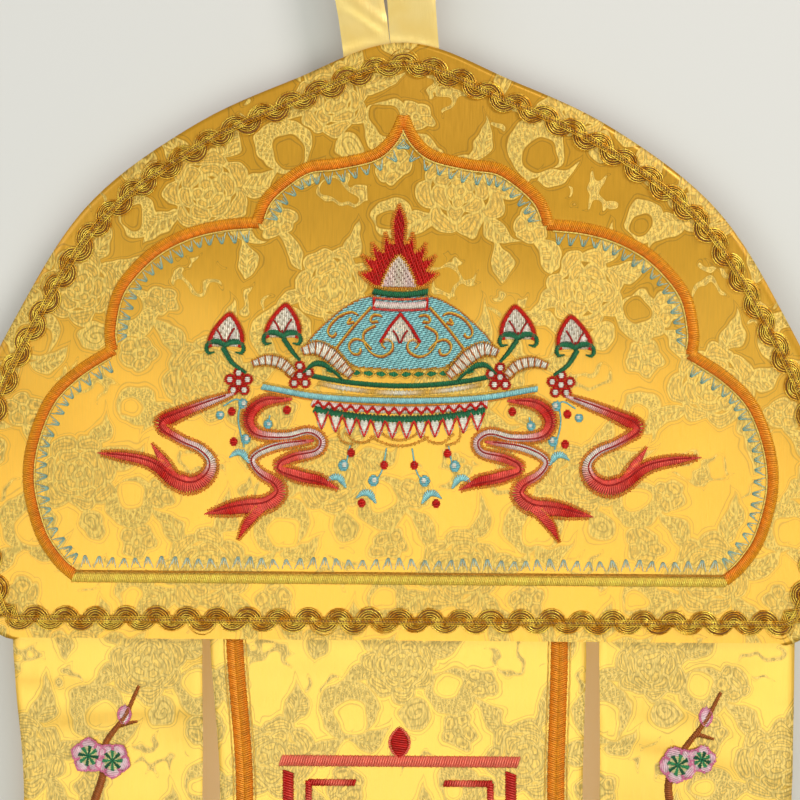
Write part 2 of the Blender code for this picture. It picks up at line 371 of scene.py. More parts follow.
# Satin damask, warp-faced ground and weft-faced figure: the same silk-like yarn lies
# upright in the ground and across in the figure, so each flashes where the other is dull.
damask = {
    # ground and figure, the chart's shift in its units, and the tone of the painted shade in the
    # hollows
    "head": ("#DF9E0A", "#F3CB64", 0.0, 0.68),
    # painted light: the panels' ground and figure are set paler than the head's, for the sheen that
    # falls lower down
    "panels": ("#E4AE38", "#F3CE72", 41.0, 0.60),
    "gloss": "#FFF0AE",
    "glossShare": (0.065, 0.035),  # of the light, mirrored untinted by ground and figure
    "metallic": (0.44, 0.27),      # and tinted by the dye
    "roughness": (0.32, 0.41),
    "anisotropic": 0.66,
    "drift": 11.0,
    "dashTurn": math.radians(40.0),
    "dashes": (0.85, 0.24, 1.0),
    # how far the painted glints darken and lighten the figure's base colour
    "paintedGlint": (-0.26, 0.10),
    "streaks": (0.95, 1.04),       # how much yarns and soiled patches differ in tone
    "scale": 0.74,            # mm to one unit of the chart below
    "tile": (150.0, 112.0),   # the loom's repeat on the chart
    # kind, across, up, size, turn (degrees)
    "figures": (
        ("peony", 34, 30, 25.0, 10), ("peony", 109, 86, 22.5, 50),
        ("plum", 76, 12, 10.5, 0), ("plum", 8, 76, 9.5, 20), ("plum", 144, 46, 10.5, 40),
        ("cloud", 114, 30, 17.0, -8), ("cloud", 28, 92, 17.0, 170), ("cloud", 62, 76, 11.0, 20),
        ("crescent", 80, 56, 17.0, 120), ("crescent", 140, 72, 15.0, -60),
        ("crescent", 142, 14, 12.0, 30),
        ("leaf", 64, 34, 14.0, 15), ("leaf", 48, 61, 13.0, 68), ("leaf", 15, 56, 13.5, 128),
        ("leaf", 6, 11, 13.0, 215), ("leaf", 56, 6, 12.0, -38), ("leaf", 136, 96, 13.0, 12),
        ("leaf", 122, 110, 12.0, 62), ("leaf", 86, 108, 12.0, 128), ("leaf", 85, 80, 11.0, 200),
        ("leaf", 92, 40, 11.0, 20), ("leaf", 60, 102, 12.0, 100),
        ("scroll", 118, 57, 7.5, 150),
    ),
}


def makeDamask(name, ground, figure, chartShift, hollowShade):
    material, add = startMaterial(name)

    def calc(operation, *values):
        return add("Math " + operation, *values)

    inMm = add("VectorMath SCALE", add("UVMap", uv_map="clothUV"), 1000.0)
    # hand-charted figures are never quite regular
    plain = add("VectorMath SCALE", inMm, 1.0 / damask["scale"])
    drift = add("TexNoise", plain, 0.06, 1.0).outputs["Color"]
    drift = add("VectorMath SUBTRACT", drift, (0.5, 0.5, 0.5))
    chart = add("VectorMath ADD", plain, add("VectorMath SCALE", drift, damask["drift"]))
    width, height = damask["tile"]

    def figureCoords(across, up, size, turn):
        low = (across - width / 2, up - height / 2, -50.0)
        high = (across + width / 2, up + height / 2, 50.0)
        return add("Mapping", add("VectorMath WRAP", chart, high, low), (across, up, 0.0),
                   (0.0, 0.0, math.radians(turn)), (size, size, 1.0), vector_type="TEXTURE")

    def polar(point):
        x, y, _ = add("SeparateXYZ", point).outputs
        flat = add("VectorMath MULTIPLY", point, (1.0, 1.0, 0.0))
        return add("VectorMath LENGTH", flat).outputs["Value"], calc("ARCTAN2", y, x)

    def largest(inks):
        ink = inks[0]
        for other in inks[1:]:
            ink = calc("MAXIMUM", ink, other)
        return ink

    def petalRing(away, angle, reach, petals, phase, inner):
        # petals out to `reach`, parted by ground lines and by the ring inside them
        lobe = calc("ABSOLUTE", calc("SINE", calc("MULTIPLY_ADD", angle, petals / 2, phase)))
        edge = calc("MULTIPLY_ADD", lobe, reach * 0.20, reach * 0.80)
        inside = calc("SUBTRACT", edge, away)
        parting = calc("MULTIPLY_ADD", calc("MULTIPLY", lobe, away), 2.0 / petals, -0.02)
        return calc("MINIMUM", calc("MINIMUM", inside, parting), calc("SUBTRACT", away, inner))

    def peony(point):
        away, angle = polar(point)
        rings = [petalRing(away, angle, *ring) for ring in (
            (1.0, 7.0, 0.3, 0.70), (0.68, 6.0, 1.2, 0.42), (0.38, 5.0, 0.1, 0.17))]
        return largest([*rings, calc("SUBTRACT", 0.11, away)])

    def plum(point):
        away, angle = polar(point)
        return largest([petalRing(away, angle, 1.0, 5.0, 0.4, 0.30), calc("SUBTRACT", 0.20, away)])

    def leaf(point):
        along, off, _ = add("SeparateXYZ", point).outputs
        square = calc("MULTIPLY", along, along)
        side = calc("ABSOLUTE", calc("MULTIPLY_ADD", square, -0.30, off))
        swell = calc("MAXIMUM", calc("MULTIPLY_ADD", along, -0.17, 0.40), 0.2)
        half = calc("MULTIPLY", calc("SUBTRACT", 1.0, square), swell)
        inside = calc("SUBTRACT", half, side)
        rib = calc("SUBTRACT", side, 0.045)
        veins = calc("PINGPONG", calc("MULTIPLY_ADD", side, -0.9, along), 0.16)
        veins = calc("SUBTRACT", veins, 0.035)
        return calc("MINIMUM", calc("MINIMUM", inside, rib), veins)

    def scroll(point):
        away, angle = polar(point)
        winding = calc("MULTIPLY_ADD", angle, 1.0 / math.tau, calc("MULTIPLY", away, 2.2))
        strand = calc("SUBTRACT", calc("PINGPONG", winding, 0.5), 0.26)
        strand = calc("MULTIPLY", strand, 0.4)
        return calc("MINIMUM", strand, calc("SUBTRACT", 1.0, away))

    def cloud(point):
        lobes = ((-0.55, -0.05, 0.40), (0.02, 0.22, 0.50), (0.58, 0.0, 0.36), (0.05, -0.20, 0.42))
        body = largest([calc("SUBTRACT", reach, add("VectorMath DISTANCE", point, (x, y, 0.0)))
                        for x, y, reach in lobes])
        bands = calc("SUBTRACT", calc("PINGPONG", body, 0.105), 0.032)
        return calc("MINIMUM", body, bands)

    def crescent(point):
        # a tapering scaled band, bent round
        away, angle = polar(point)
        taper = calc("COSINE", calc("MULTIPLY", angle, 0.56))
        off = calc("SUBTRACT", away, 0.78)
        inside = calc("SUBTRACT", calc("MULTIPLY", taper, 0.27), calc("ABSOLUTE", off))
        lean = calc("MULTIPLY", off, 1.1)
        one = calc("PINGPONG", calc("ADD", angle, lean), 0.13)
        other = calc("PINGPONG", calc("SUBTRACT", angle, lean), 0.13)
        scales = calc("SUBTRACT", calc("MINIMUM", one, other), 0.030)
        return calc("MINIMUM", inside, scales)

    shapes = {"peony": peony, "plum": plum, "leaf": leaf, "scroll": scroll,
              "cloud": cloud, "crescent": crescent}
    ink = largest([
        calc("MULTIPLY", shapes[kind](figureCoords(across + chartShift, up, size, turn)), size)
        for kind, across, up, size, turn in damask["figures"]])
    # a figure and its partings are one body; rim and partings are lines of long bright
    # floats, and inside them the binding points run in crinkled lines
    figured = add("MapRange", ink, -0.95, -0.55, interpolation_type="SMOOTHSTEP")
    crinkle = add("TexNoise", plain, 0.30, 1.0)
    echo = calc("PINGPONG", calc("MULTIPLY_ADD", crinkle, 11.0, ink), 0.80)
    echo = add("MapRange", echo, 0.30, 0.62, 0.0, 0.62)
    bright = calc("MAXIMUM", echo, add("MapRange", ink, 0.05, 0.5, 1.0, 0.0))
    floated = calc("MULTIPLY", figured, calc("MULTIPLY_ADD", bright, 0.66, 0.34))
    # painted glints: the figure's base colour is lighter and darker in short slanting dashes, partly
    # its pale floats, partly glints of light; 0.4 mm yarn drawn 1 mm
    dashes = add("Mapping", plain, (0.0, 0.0, 0.0), (0.0, 0.0, damask["dashTurn"]),
                 damask["dashes"])
    paintedGlint = add("MapRange", add("TexNoise", dashes, 1.0, 1.0), 0.44, 0.56, *damask["paintedGlint"])
    paintedGlint = calc("MULTIPLY_ADD", figured, paintedGlint, 1.0)
    # painted shade: the base colour is darkened along contours of bound floats, round the figures and
    # in them, where the cloth would dip
    contours = calc("PINGPONG", calc("ADD", ink, 1.25), 0.95)
    clear = add("MapRange", ink, -3.9, -3.3, 1.0, 0.0)
    grooveShade = add("MapRange", calc("MAXIMUM", contours, clear), 0.12, 0.48, hollowShade, 1.0)

    # floats: upright in the ground, level in the figure; 0.2 mm yarn drawn 0.7 mm
    upright = add("VectorMath MULTIPLY", inMm, (1.5, 0.10, 1.0))
    level = add("VectorMath MULTIPLY", inMm, (0.35, 1.7, 1.0))
    along = add("Mix", figured, upright, level, data_type="VECTOR")
    floats = add("TexNoise", along, 1.0, 1.0, 0.6)
    streak = add("MapRange", floats, 0.3, 0.7, *damask["streaks"])
    age = add("MapRange", add("TexNoise", inMm, 0.018, 2.0), 0.3, 0.7, *damask["streaks"])
    # the base colour carries painted shade in the grooves and painted glints, with the yarns' and
    # soiled patches' own differences in tone
    shade = calc("MULTIPLY", calc("MULTIPLY", grooveShade, paintedGlint), calc("MULTIPLY", streak, age))
    tone = add("Mix", floated, ground, figure, data_type="RGBA")
    rough = add("MapRange", floats, 0.2, 0.8, *damask["roughness"])
    ridges = add("TexNoise", upright, 1.0, 1.0)
    # dyed filament lit through, and the pale gloss off its smooth side
    lustre = {"Roughness": calc("MULTIPLY_ADD", floated, 0.26, rough),
              "Anisotropic": damask["anisotropic"],
              "Anisotropic Rotation": calc("MULTIPLY", floated, 0.25),
              "Tangent": add("Tangent", direction_type="UV_MAP", uv_map="clothUV"),
              "Normal": add("Bump", {"Strength": 0.12, "Distance": 0.0003, "Height": ridges})}
    body = add("BsdfPrincipled", {
        "Base Color": add("VectorMath SCALE", tone, shade),
        "Metallic": add("MapRange", floated, 0.0, 1.0, *damask["metallic"]), **lustre})
    gloss = add("BsdfPrincipled", {"Base Color": damask["gloss"], "Metallic": 1.0, **lustre})
    share = add("MapRange", floated, 0.0, 1.0, *damask["glossShare"])
    add("OutputMaterial", add("MixShader", share, body, gloss))
    return material


# Plain polyester lining in a tabby weave: dull, with a fine even grain.
def makeLining():
    material, add = startMaterial("tabby polyester lining")
    inMm = add("VectorMath SCALE", add("UVMap", uv_map="clothUV"), 1000.0)
    # 0.25 mm yarn drawn 0.8 mm apart so that it shows
    warp, weft = (add("Math SINE", add("Math MULTIPLY", yarn, 7.8))
                  for yarn in add("SeparateXYZ", inMm).outputs[:2])
    weave = add("Math MULTIPLY", warp, weft)
    cloudy = add("TexNoise", inMm, 0.03, 3.0)
    return finished(material, add, {
        "Base Color": add("Mix", cloudy, "#E2B23E", "#EDC65E", data_type="RGBA"),
        "Roughness": 0.62, "Sheen Weight": 0.2,
        "Normal": add("Bump", {"Strength": 0.25, "Distance": 0.0002, "Height": weave})})


# Plain satin, all warp floats: pale and very shiny, with soft creases.
def makeSatin():
    material, add = startMaterial("plain warp satin")
    inMm = add("VectorMath SCALE", add("UVMap", uv_map="clothUV"), 1000.0)
    upright = add("VectorMath MULTIPLY", inMm, (1.8, 0.12, 1.0))
    floats = add("TexNoise", upright, 1.0, 2.0)
    cloudy = add("TexNoise", inMm, 0.07, 2.0)
    height = add("Math MULTIPLY_ADD", cloudy, 3.0, floats)
    return finished(material, add, {
        "Base Color": add("Mix", cloudy, "#F8CC66", "#FEE49C", data_type="RGBA"),
        "Metallic": 0.30, "Anisotropic": 0.6,
        "Roughness": add("MapRange", floats, 0.2, 0.8, 0.30, 0.42),
        "Tangent": add("Tangent", direction_type="UV_MAP", uv_map="clothUV"),
        "Normal": add("Bump", {"Strength": 0.25, "Distance": 0.0003, "Height": height})})


# Rayon embroidery floss: bright dyed filament, laid so that each stitch has its own gloss.
def makeFloss():
    material, add = startMaterial("rayon embroidery floss")
    dye = add("Attribute", attribute_name="threadColour").outputs["Color"]
    around, length, _ = add("SeparateXYZ", add("UVMap", uv_map="threadUV")).outputs
    # two plies twisted round each other, one turn in 3 mm
    twist = add("Math MULTIPLY_ADD", around, 2.1, add("Math MULTIPLY", length, 25.0))
    plies = add("Math SINE", twist)
    fuzz = add("TexNoise", add("TexCoord").outputs["Object"], 900.0, 2.0)
    tint = add("MapRange", fuzz, 0.3, 0.7, 0.86, 1.12)
    return finished(material, add, {
        "Base Color": add("VectorMath SCALE", dye, tint), "Roughness": 0.34, "Metallic": 0.25,
        "Normal": add("Bump", {"Strength": 0.3, "Distance": 0.0001, "Height": plies})})


# Imitation gold gimp: metallised foil wound on a cotton core; the brown in its gaps is painted shade,
# laid as dark core cords.
def makeGimpThread():
    material, add = startMaterial("metallised gimp thread")
    where = add("TexCoord").outputs["Object"]
    patches = add("MapRange", add("TexNoise", where, 260.0, 2.0), 0.35, 0.65)
    # the foil's edges, 0.35 mm apart, catch the light one by one
    foil = add("TexNoise", where, 1900.0, 1.0)
    return finished(material, add, {
        "Base Color": add("Mix", patches, "#D08A1E", "#FFDC5E", data_type="RGBA"),
        "Metallic": 0.92, "Roughness": add("MapRange", foil, 0.3, 0.7, 0.22, 0.42),
        "Normal": add("Bump", {"Strength": 0.45, "Distance": 0.00025, "Height": foil})})


# The core under the foil-wound cords: dull brown cotton, made dark as painted shade in the gaps.
def makeGimpCoreShade():
    material, add = startMaterial("brown gimp core and painted gap shade")
    fuzz = add("TexNoise", add("TexCoord").outputs["Object"], 700.0, 2.0)
    return finished(material, add, {
        "Base Color": add("Mix", fuzz, "#6A3E0A", "#A86818", data_type="RGBA"),
        "Roughness": 0.8, "Sheen Weight": 0.2,
        "Normal": add("Bump", {"Strength": 0.3, "Distance": 0.0002, "Height": fuzz})})


headDamask = makeDamask("satin damask of the head", *damask["head"])
panelDamask = makeDamask("satin damask of the panels", *damask["panels"])
lining = makeLining()
satin = makeSatin()
floss = makeFloss()
gimpThread = makeGimpThread()
gimpCoreShade = makeGimpCoreShade()
print("materials made")


def linked(name, data):
    piece = bpy.data.objects.new(name, data)
    bpy.context.scene.collection.objects.link(piece)
    return piece


def dress(piece, slot, *nodes):
    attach(piece, "root")
    if nodes:
        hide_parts(*nodes)


def clothSheet(name, points, flat, thickness, front, back):
    # points run in rows from the foot up and columns to the right; flat is each
    # point's place in the cut cloth
    rows, columns = points.shape[:2]
    corner = np.arange(rows * columns).reshape(rows, columns)
    quads = np.stack([corner[:-1, :-1], corner[:-1, 1:], corner[1:, 1:], corner[1:, :-1]],
                     axis=-1).reshape(-1, 4)
    mesh = bpy.data.meshes.new(name)
    mesh.from_pydata(points.reshape(-1, 3).tolist(), [], quads.tolist())
    layer = mesh.uv_layers.new(name="clothUV")
    layer.data.foreach_set("uv", flat.reshape(-1, 2)[quads.ravel()].ravel())
    mesh.materials.append(front)
    mesh.materials.append(back)
    piece = linked(name, mesh)
    bpy.ops.object.select_all(action="DESELECT")
    piece.select_set(True)
    bpy.context.view_layer.objects.active = piece
    wall = piece.modifiers.new("Thickness", "SOLIDIFY")
    wall.thickness = thickness
    wall.offset = 0.0
    wall.material_offset = 1
    bpy.ops.object.modifier_apply(modifier=wall.name)
    bpy.ops.object.shade_smooth_by_angle(angle=math.radians(50))
    return piece


def acrossCloth(columns):
    # from -1 to 1, closer together near the edges
    s = np.linspace(-1.0, 1.0, columns)
    return s * (1.5 - 0.5 * s * s)


def makeHeadCloth():
    line, out = braidLine(head["stations"])
    half = slice(0, len(line) // 2 + 1)
    edge = (line + out * head["margin"])[half]
    edge = edge[int(np.argmax(out[half][:, 0] > 0.1)):]
    edge = edge[np.linspace(0, len(edge) - 1, head["rows"]).round().astype(int)]
    edge[-1, 0] = head["tipWidth"]
    across = acrossCloth(head["columns"])
    x = edge[:, :1] * across
    up = np.repeat(edge[:, 1:], len(across), axis=1)
    rim = np.clip(1.0 - (edge[:, :1] - np.abs(x)) / head["rollWidth"], 0.0, 1.0)
    points = onHead(x, up, -head["edgeRoll"] * rim ** 2)
    piece = clothSheet("head_cloth", points, np.stack([x, up], axis=-1),
                       head["thickness"], headDamask, lining)
    dress(piece, "damask", "head_panel")
    area = float(np.sum((edge[1:, 0] + edge[:-1, 0]) * np.diff(edge[:, 1])))


def makePanelCloth(name):
    panel = panels[name]
    rows = round((panel["length"] + panelCloth["overlap"]) / panelCloth["rowHeight"])
    drop = np.linspace(panel["length"], -panelCloth["overlap"], rows + 1)[:, None]
    left, right = panelEdges(panel, drop)
    x = left + (right - left) * (acrossCloth(panel["columns"]) + 1.0) / 2.0
    up = np.broadcast_to(-drop, x.shape)
    inset = np.minimum(x - left, right - x)
    foot = panel["length"] + up
    rim = np.clip(1.0 - inset / panelCloth["rollWidth"], 0.0, 1.0)
    hem = np.maximum(ease((panelCloth["sideHem"] - inset) / panelCloth["hemStep"]),
                     ease((panelCloth["hem"] - foot) / panelCloth["hemStep"]))
    forward = panelCloth["hemRise"] * hem - panelCloth["edgeRoll"] * rim ** 2
    piece = clothSheet(name + "_cloth", onPanel(name)(x, up, forward),
                       np.stack([x, up], axis=-1), panelCloth["thickness"], panelDamask, lining)
    dress(piece, "damask", name)
    size = (lowWidth(panel), panel["length"] + panelCloth["overlap"])
    print(name, "flat", size)


strap = {
    "width": 0.021,
    "thickness": 0.0016,
    "depth": 0.0027,
    "drop": 0.062,            # from the crown to the foot of the slit
    "lean": 0.0070,
    "loopWidth": 0.0095,
    "slit": 0.0004,
    "slitPower": 1.7,
    "tail": 0.020,
    "legRows": 44,
    "columns": 15,
    "crease": 0.0006,
    "creaseSpread": 0.0032,
    "slanting": (0.050, 0.8),         # a crease across the left leg: below the crown, slope
    "arched": (0.060, 9.0, 0.009),    # and one on the right leg: below the crown, bend, middle
    "edgeRoll": 0.0004,
    "foldRidge": 0.0004,      # along each mitred fold of the top
    "ridgeWidth": 0.0016,
    "length": 0.215,          # of the strap, laid out
    # fine creases across each leg: side, z, slope, height, spread
    "creases": ((-1, -0.047, -0.8, 0.00035, 0.0016), (-1, -0.054, -0.5, -0.0003, 0.0020),
                (1, -0.044, 0.5, 0.0003, 0.0020), (1, -0.056, 0.7, -0.0003, 0.0016)),
}


def makeStrapCloth():
    legUp = np.linspace(-strap["drop"] - strap["tail"], 0.0, strap["legRows"])
    up = 1.0 + legUp / strap["drop"]
    middle = strap["lean"] * (1.0 - up)
    slit = (strap["slit"] + (strap["loopWidth"] - strap["slit"])
            * np.maximum(up, 0.0) ** strap["slitPower"])
    crown = strap["loopWidth"] / 2.0
    wide = strap["width"]
    inner, outer = {}, {}
    for side in (-1, 1):
        inner[side] = np.column_stack([middle + side * slit / 2, legUp])
        outer[side] = inner[side] + (side * wide, 0.0)
    mitreInner = [(-0.75 * crown, 0), (-0.5 * crown, 0), (0.5 * crown, 0), (0.75 * crown, 0)]
    mitreOuter = [(-crown - wide / 2, wide / 2), (-crown, wide), (crown, wide),
                  (crown + wide / 2, wide / 2)]
    innerLine = np.vstack([inner[-1], mitreInner, inner[1][::-1]])
    outerLine = np.vstack([outer[-1], mitreOuter, outer[1][::-1]])
    # the mitred top is cut finer, in straight steps
    count = len(innerLine)
    start, end = strap["legRows"] - 1, strap["legRows"] + 4
    fine = np.concatenate([np.arange(start), np.linspace(start, end, 41),
                           np.arange(end + 1, count)])
    innerLine, outerLine = (sampled(line, np.arange(count), fine)
                            for line in (innerLine, outerLine))
    across = np.linspace(0.0, 1.0, strap["columns"])[None, :, None]
    flat = innerLine[:, None] * (1.0 - across) + outerLine[:, None] * across
    x, z = flat[..., 0], flat[..., 1]
    below, slope = strap["slanting"]
    slanting = np.exp(-((z + below + slope * x) / strap["creaseSpread"]) ** 2)
    slanting = slanting * ease((strap["lean"] - x) / strap["lean"])
    below, bend, top = strap["arched"]
    arched = np.exp(-((z + below + bend * (x - top) ** 2) / strap["creaseSpread"]) ** 2)
    relief = strap["crease"] * (slanting - arched)
    for side, at, slope, height, spread in strap["creases"]:
        onLeg = (side * (x - strap["lean"] * 0.8) > 0) & (z < 0)
        relief = relief + onLeg * height * np.exp(-((z - at - slope * x) / spread) ** 2)
    rim = np.abs(2.0 * across[..., 0] - 1.0) ** 8
    for side in (-1.0, 1.0):
        off = z - (wide - (side * x - crown))
        relief = relief + strap["foldRidge"] * np.exp(-(off / strap["ridgeWidth"]) ** 2) * (z > 0)
    points = np.stack([x, strap["depth"] - relief + strap["edgeRoll"] * rim, z], axis=-1)
    along = distances((innerLine + outerLine) / 2)[:, None]
    uv = np.stack(np.broadcast_arrays(across[..., 0] * wide, along), axis=-1)
    # rows climb the left leg, so the columns, inner edge to outer, run to the left
    piece = clothSheet("strap_cloth", points[:, ::-1], uv[:, ::-1], strap["thickness"],
                       satin, satin)
    dress(piece, "satin", "hanging_loop")


makeStrapCloth()
makeHeadCloth()
for panelName in panels:
    makePanelCloth(panelName)
print("cloths made")


# Gimp braid: two sets of looped cords that cross along a chained middle
gimp = {
    "repeats": 77,
    "repeatWidth": 13.0,      # mm
    "fullness": 0.8,          # below 1 the loops are rounder
    "stations": 3696,         # points of the centre line, 48 to a scallop
    "samples": 14,            # points of a cord in one scallop
    "strands": 5,
    "reach": 5.6,             # mm from the middle to the outermost cord's crest
    "nesting": 1.0,           # mm between neighbouring cords
    "dip": 0.08,              # how far a loop runs past the middle, as a share of its crest
    "swing": 0.24,            # the widest loop's overlap, in scallops
    "outerShare": 0.86,       # of the reach, for the loops that face outwards
    "thread": 0.56,
    "lift": 2.15,             # of the cords above the head's middle surface
    "weave": 0.30,
    "shadeCoreThread": 1.10,
    "shadeCoreLift": 1.55,
    "chainReach": 0.95,
    "chainWeave": 0.25,
    "chainRepeats": 5,
    "chainThread": 0.50,
    "chainLift": 2.80,
    "shadeCoreInset": 0.55,
    "shadeCoreWeave": 0.1,
    "strandLift": 0.08,       # each smaller loop lies this much higher
    "unevenness": 0.04,
    "picotReach": 5.7,
    "picotProud": 0.45,
    "picotThread": 0.36,
    "flatThread": 0.55,
    # the flat cords along the middle: off, lift
    "flats": ((-1.35, 2.75), (0.0, 3.0), (1.35, 2.75)),
}


def makeGimp():
    line, out = braidLine(gimp["stations"])
    scallops = np.arange(len(line)) * gimp["repeats"] / len(line)
    rng = np.random.default_rng(11)

    def along(at, off, lift):
        # at in scallops round the head, off outwards and lift forwards in mm
        middle, aside = (sampled(rows, scallops, at, gimp["repeats"]) for rows in (line, out))
        x, up = (middle + aside * np.atleast_1d(off)[:, None] * 0.001).T
        return onHead(x, up, lift * 0.001)

    def loop(side, strand, samples, reach, dip, uneven, weave):
        # one cord's way through the scallops of its side, closed in a dip past the middle
        turns = np.arange(gimp["repeats"] * samples) / samples
        t = turns * math.tau
        crest = reach * np.repeat(uneven, samples) * (gimp["outerShare"] if side > 0 else 1.0)
        beat = np.sin(t)
        off = crest * (np.maximum(beat, 0.0) ** gimp["fullness"] + dip * np.minimum(beat, 0.0))
        swing = gimp["swing"] - strand * gimp["nesting"] / gimp["repeatWidth"]
        at = turns + side * 0.25 - swing * np.cos(t)
        return at, side * off, side * weave * np.cos(t)

    cords = []
    for side in (1, -1):
        for strand in range(gimp["strands"]):
            reach = gimp["reach"] - strand * gimp["nesting"]
            uneven = 1.0 + gimp["unevenness"] * rng.standard_normal(gimp["repeats"])
            at, off, rise = loop(side, strand, gimp["samples"], reach, gimp["dip"], uneven,
                                 gimp["weave"])
            cords.append((along(at, off, gimp["lift"] + rise + gimp["strandLift"] * strand),
                          gimp["thread"], gimpThread))
            # the brown core shows between the cords, dark as painted shade in the gaps
            at, off, rise = loop(side, strand + 0.5, gimp["samples"] // 2,
                                 reach - gimp["shadeCoreInset"], 0.0, uneven, gimp["shadeCoreWeave"])
            cords.append((along(at, off, gimp["shadeCoreLift"] + rise), gimp["shadeCoreThread"], gimpCoreShade))
    # a thin loop stands out of some scallops on the outer edge
    proud = 1.0 + gimp["picotProud"] * rng.uniform(0.0, 1.0, gimp["repeats"]) ** 4
    at, off, rise = loop(1, -0.3, gimp["samples"], gimp["picotReach"], 0.1, proud, 0.3)
    cords.append((along(at, off, gimp["lift"] + rise), gimp["picotThread"], gimpThread))
    # the chained middle, and the flat cords it binds
    turns = np.arange(gimp["repeats"] * gimp["chainRepeats"] * 5) / 5.0
    for phase in (0.0, math.pi):
        swing = gimp["chainReach"] * np.sin(turns * math.tau + phase)
        lift = gimp["chainLift"] + gimp["chainWeave"] * np.cos(turns * math.tau + phase)
        cords.append((along(turns / gimp["chainRepeats"], swing, lift), gimp["chainThread"],
                      gimpThread))
    turns = np.arange(gimp["repeats"] * 4) / 4.0
    for off, lift in gimp["flats"]:
        # the middle flat cord takes the dark core material of the painted gap shade
        cords.append((along(turns, off, lift), gimp["flatThread"], gimpThread if off else gimpCoreShade))

    bpy.ops.object.select_all(action="DESELECT")
    for points, thread, material in cords:
        curve = bpy.data.curves.new("gimp_cord", "CURVE")
        curve.dimensions = "3D"
        curve.bevel_depth = thread * 0.0005
        curve.bevel_resolution = 0
        curve.materials.append(material)
        spline = curve.splines.new("POLY")
        spline.points.add(len(points) - 1)
        spline.points.foreach_set("co", np.column_stack([points, np.ones(len(points))]).ravel())
        spline.use_cyclic_u = True
        cord = linked("gimp_cord", curve)
        cord.select_set(True)
        bpy.context.view_layer.objects.active = cord
    bpy.ops.object.convert(target="MESH")
    bpy.ops.object.join()
    piece = bpy.context.active_object
    piece.name = "gimp_braid_cords"
    piece.data.name = piece.name
    bpy.ops.object.shade_smooth()
    dress(piece, "gimp", "gimp_braid")
    print("gimp faces", len(piece.data.polygons))


makeGimp()


# Every stitch is one small thread, modelled once and laid many times
stitch = {
    "rise": 0.36,             # of the thread's back, as a share of its width
    "shades": (0.86, 1.12),   # no two stitches take the light alike
    "overlap": 1.12,          # of a thread's width over the pitch, so that no ground shows
    "flattened": (1.155, 0.667, 1.0),
    "neck": 0.15,             # the share of its length in which an end narrows
    "tip": (0.45, 0.45, 1.0),
    "unevenness": 0.09,       # mm, of a satin band's edge
    "least": 0.15,            # mm, of a band's half width
    "tuck": 0.12,             # of a running stitch's length, under the next
    "bricks": 0.37,           # by how much of a stitch each filled row is shifted
}


def makeStitch():
    # a three-sided thread of length 1 along Z, flat on the cloth, with narrowed ends
    bpy.ops.object.select_all(action="DESELECT")
    bpy.ops.mesh.primitive_cylinder_add(vertices=3, radius=1.0, depth=1.0, location=(0.0, 0.0, 0.5))
    thread = bpy.context.active_object
    bpy.ops.object.transform_apply(location=True, rotation=True, scale=True)
    bpy.ops.object.mode_set(mode="EDIT")
    bpy.ops.mesh.select_all(action="SELECT")
    bpy.ops.transform.resize(value=stitch["flattened"], center_override=(0.0, 1.0, 0.5))
    for share in (stitch["neck"], 1.0 - stitch["neck"]):
        bpy.ops.mesh.select_all(action="SELECT")
        bpy.ops.mesh.bisect(plane_co=(0.0, 0.0, share), plane_no=(0.0, 0.0, 1.0))
    bpy.ops.mesh.select_all(action="DESELECT")
    bpy.ops.object.mode_set(mode="OBJECT")
    for vert in thread.data.vertices:
        vert.select = vert.co.z < 0.01 or vert.co.z > 0.99
    bpy.ops.object.mode_set(mode="EDIT")
    bpy.ops.transform.resize(value=stitch["tip"], center_override=(0.0, 0.0, 0.5))
    bpy.ops.object.mode_set(mode="OBJECT")
    shape = np.array([vert.co for vert in thread.data.vertices])
    faces = [list(face.vertices) for face in thread.data.polygons]
    bpy.data.objects.remove(thread)
    return shape, *(np.array([face for face in faces if len(face) == n]) for n in (4, 3))


stitchShape, stitchSides, stitchEnds = makeStitch()


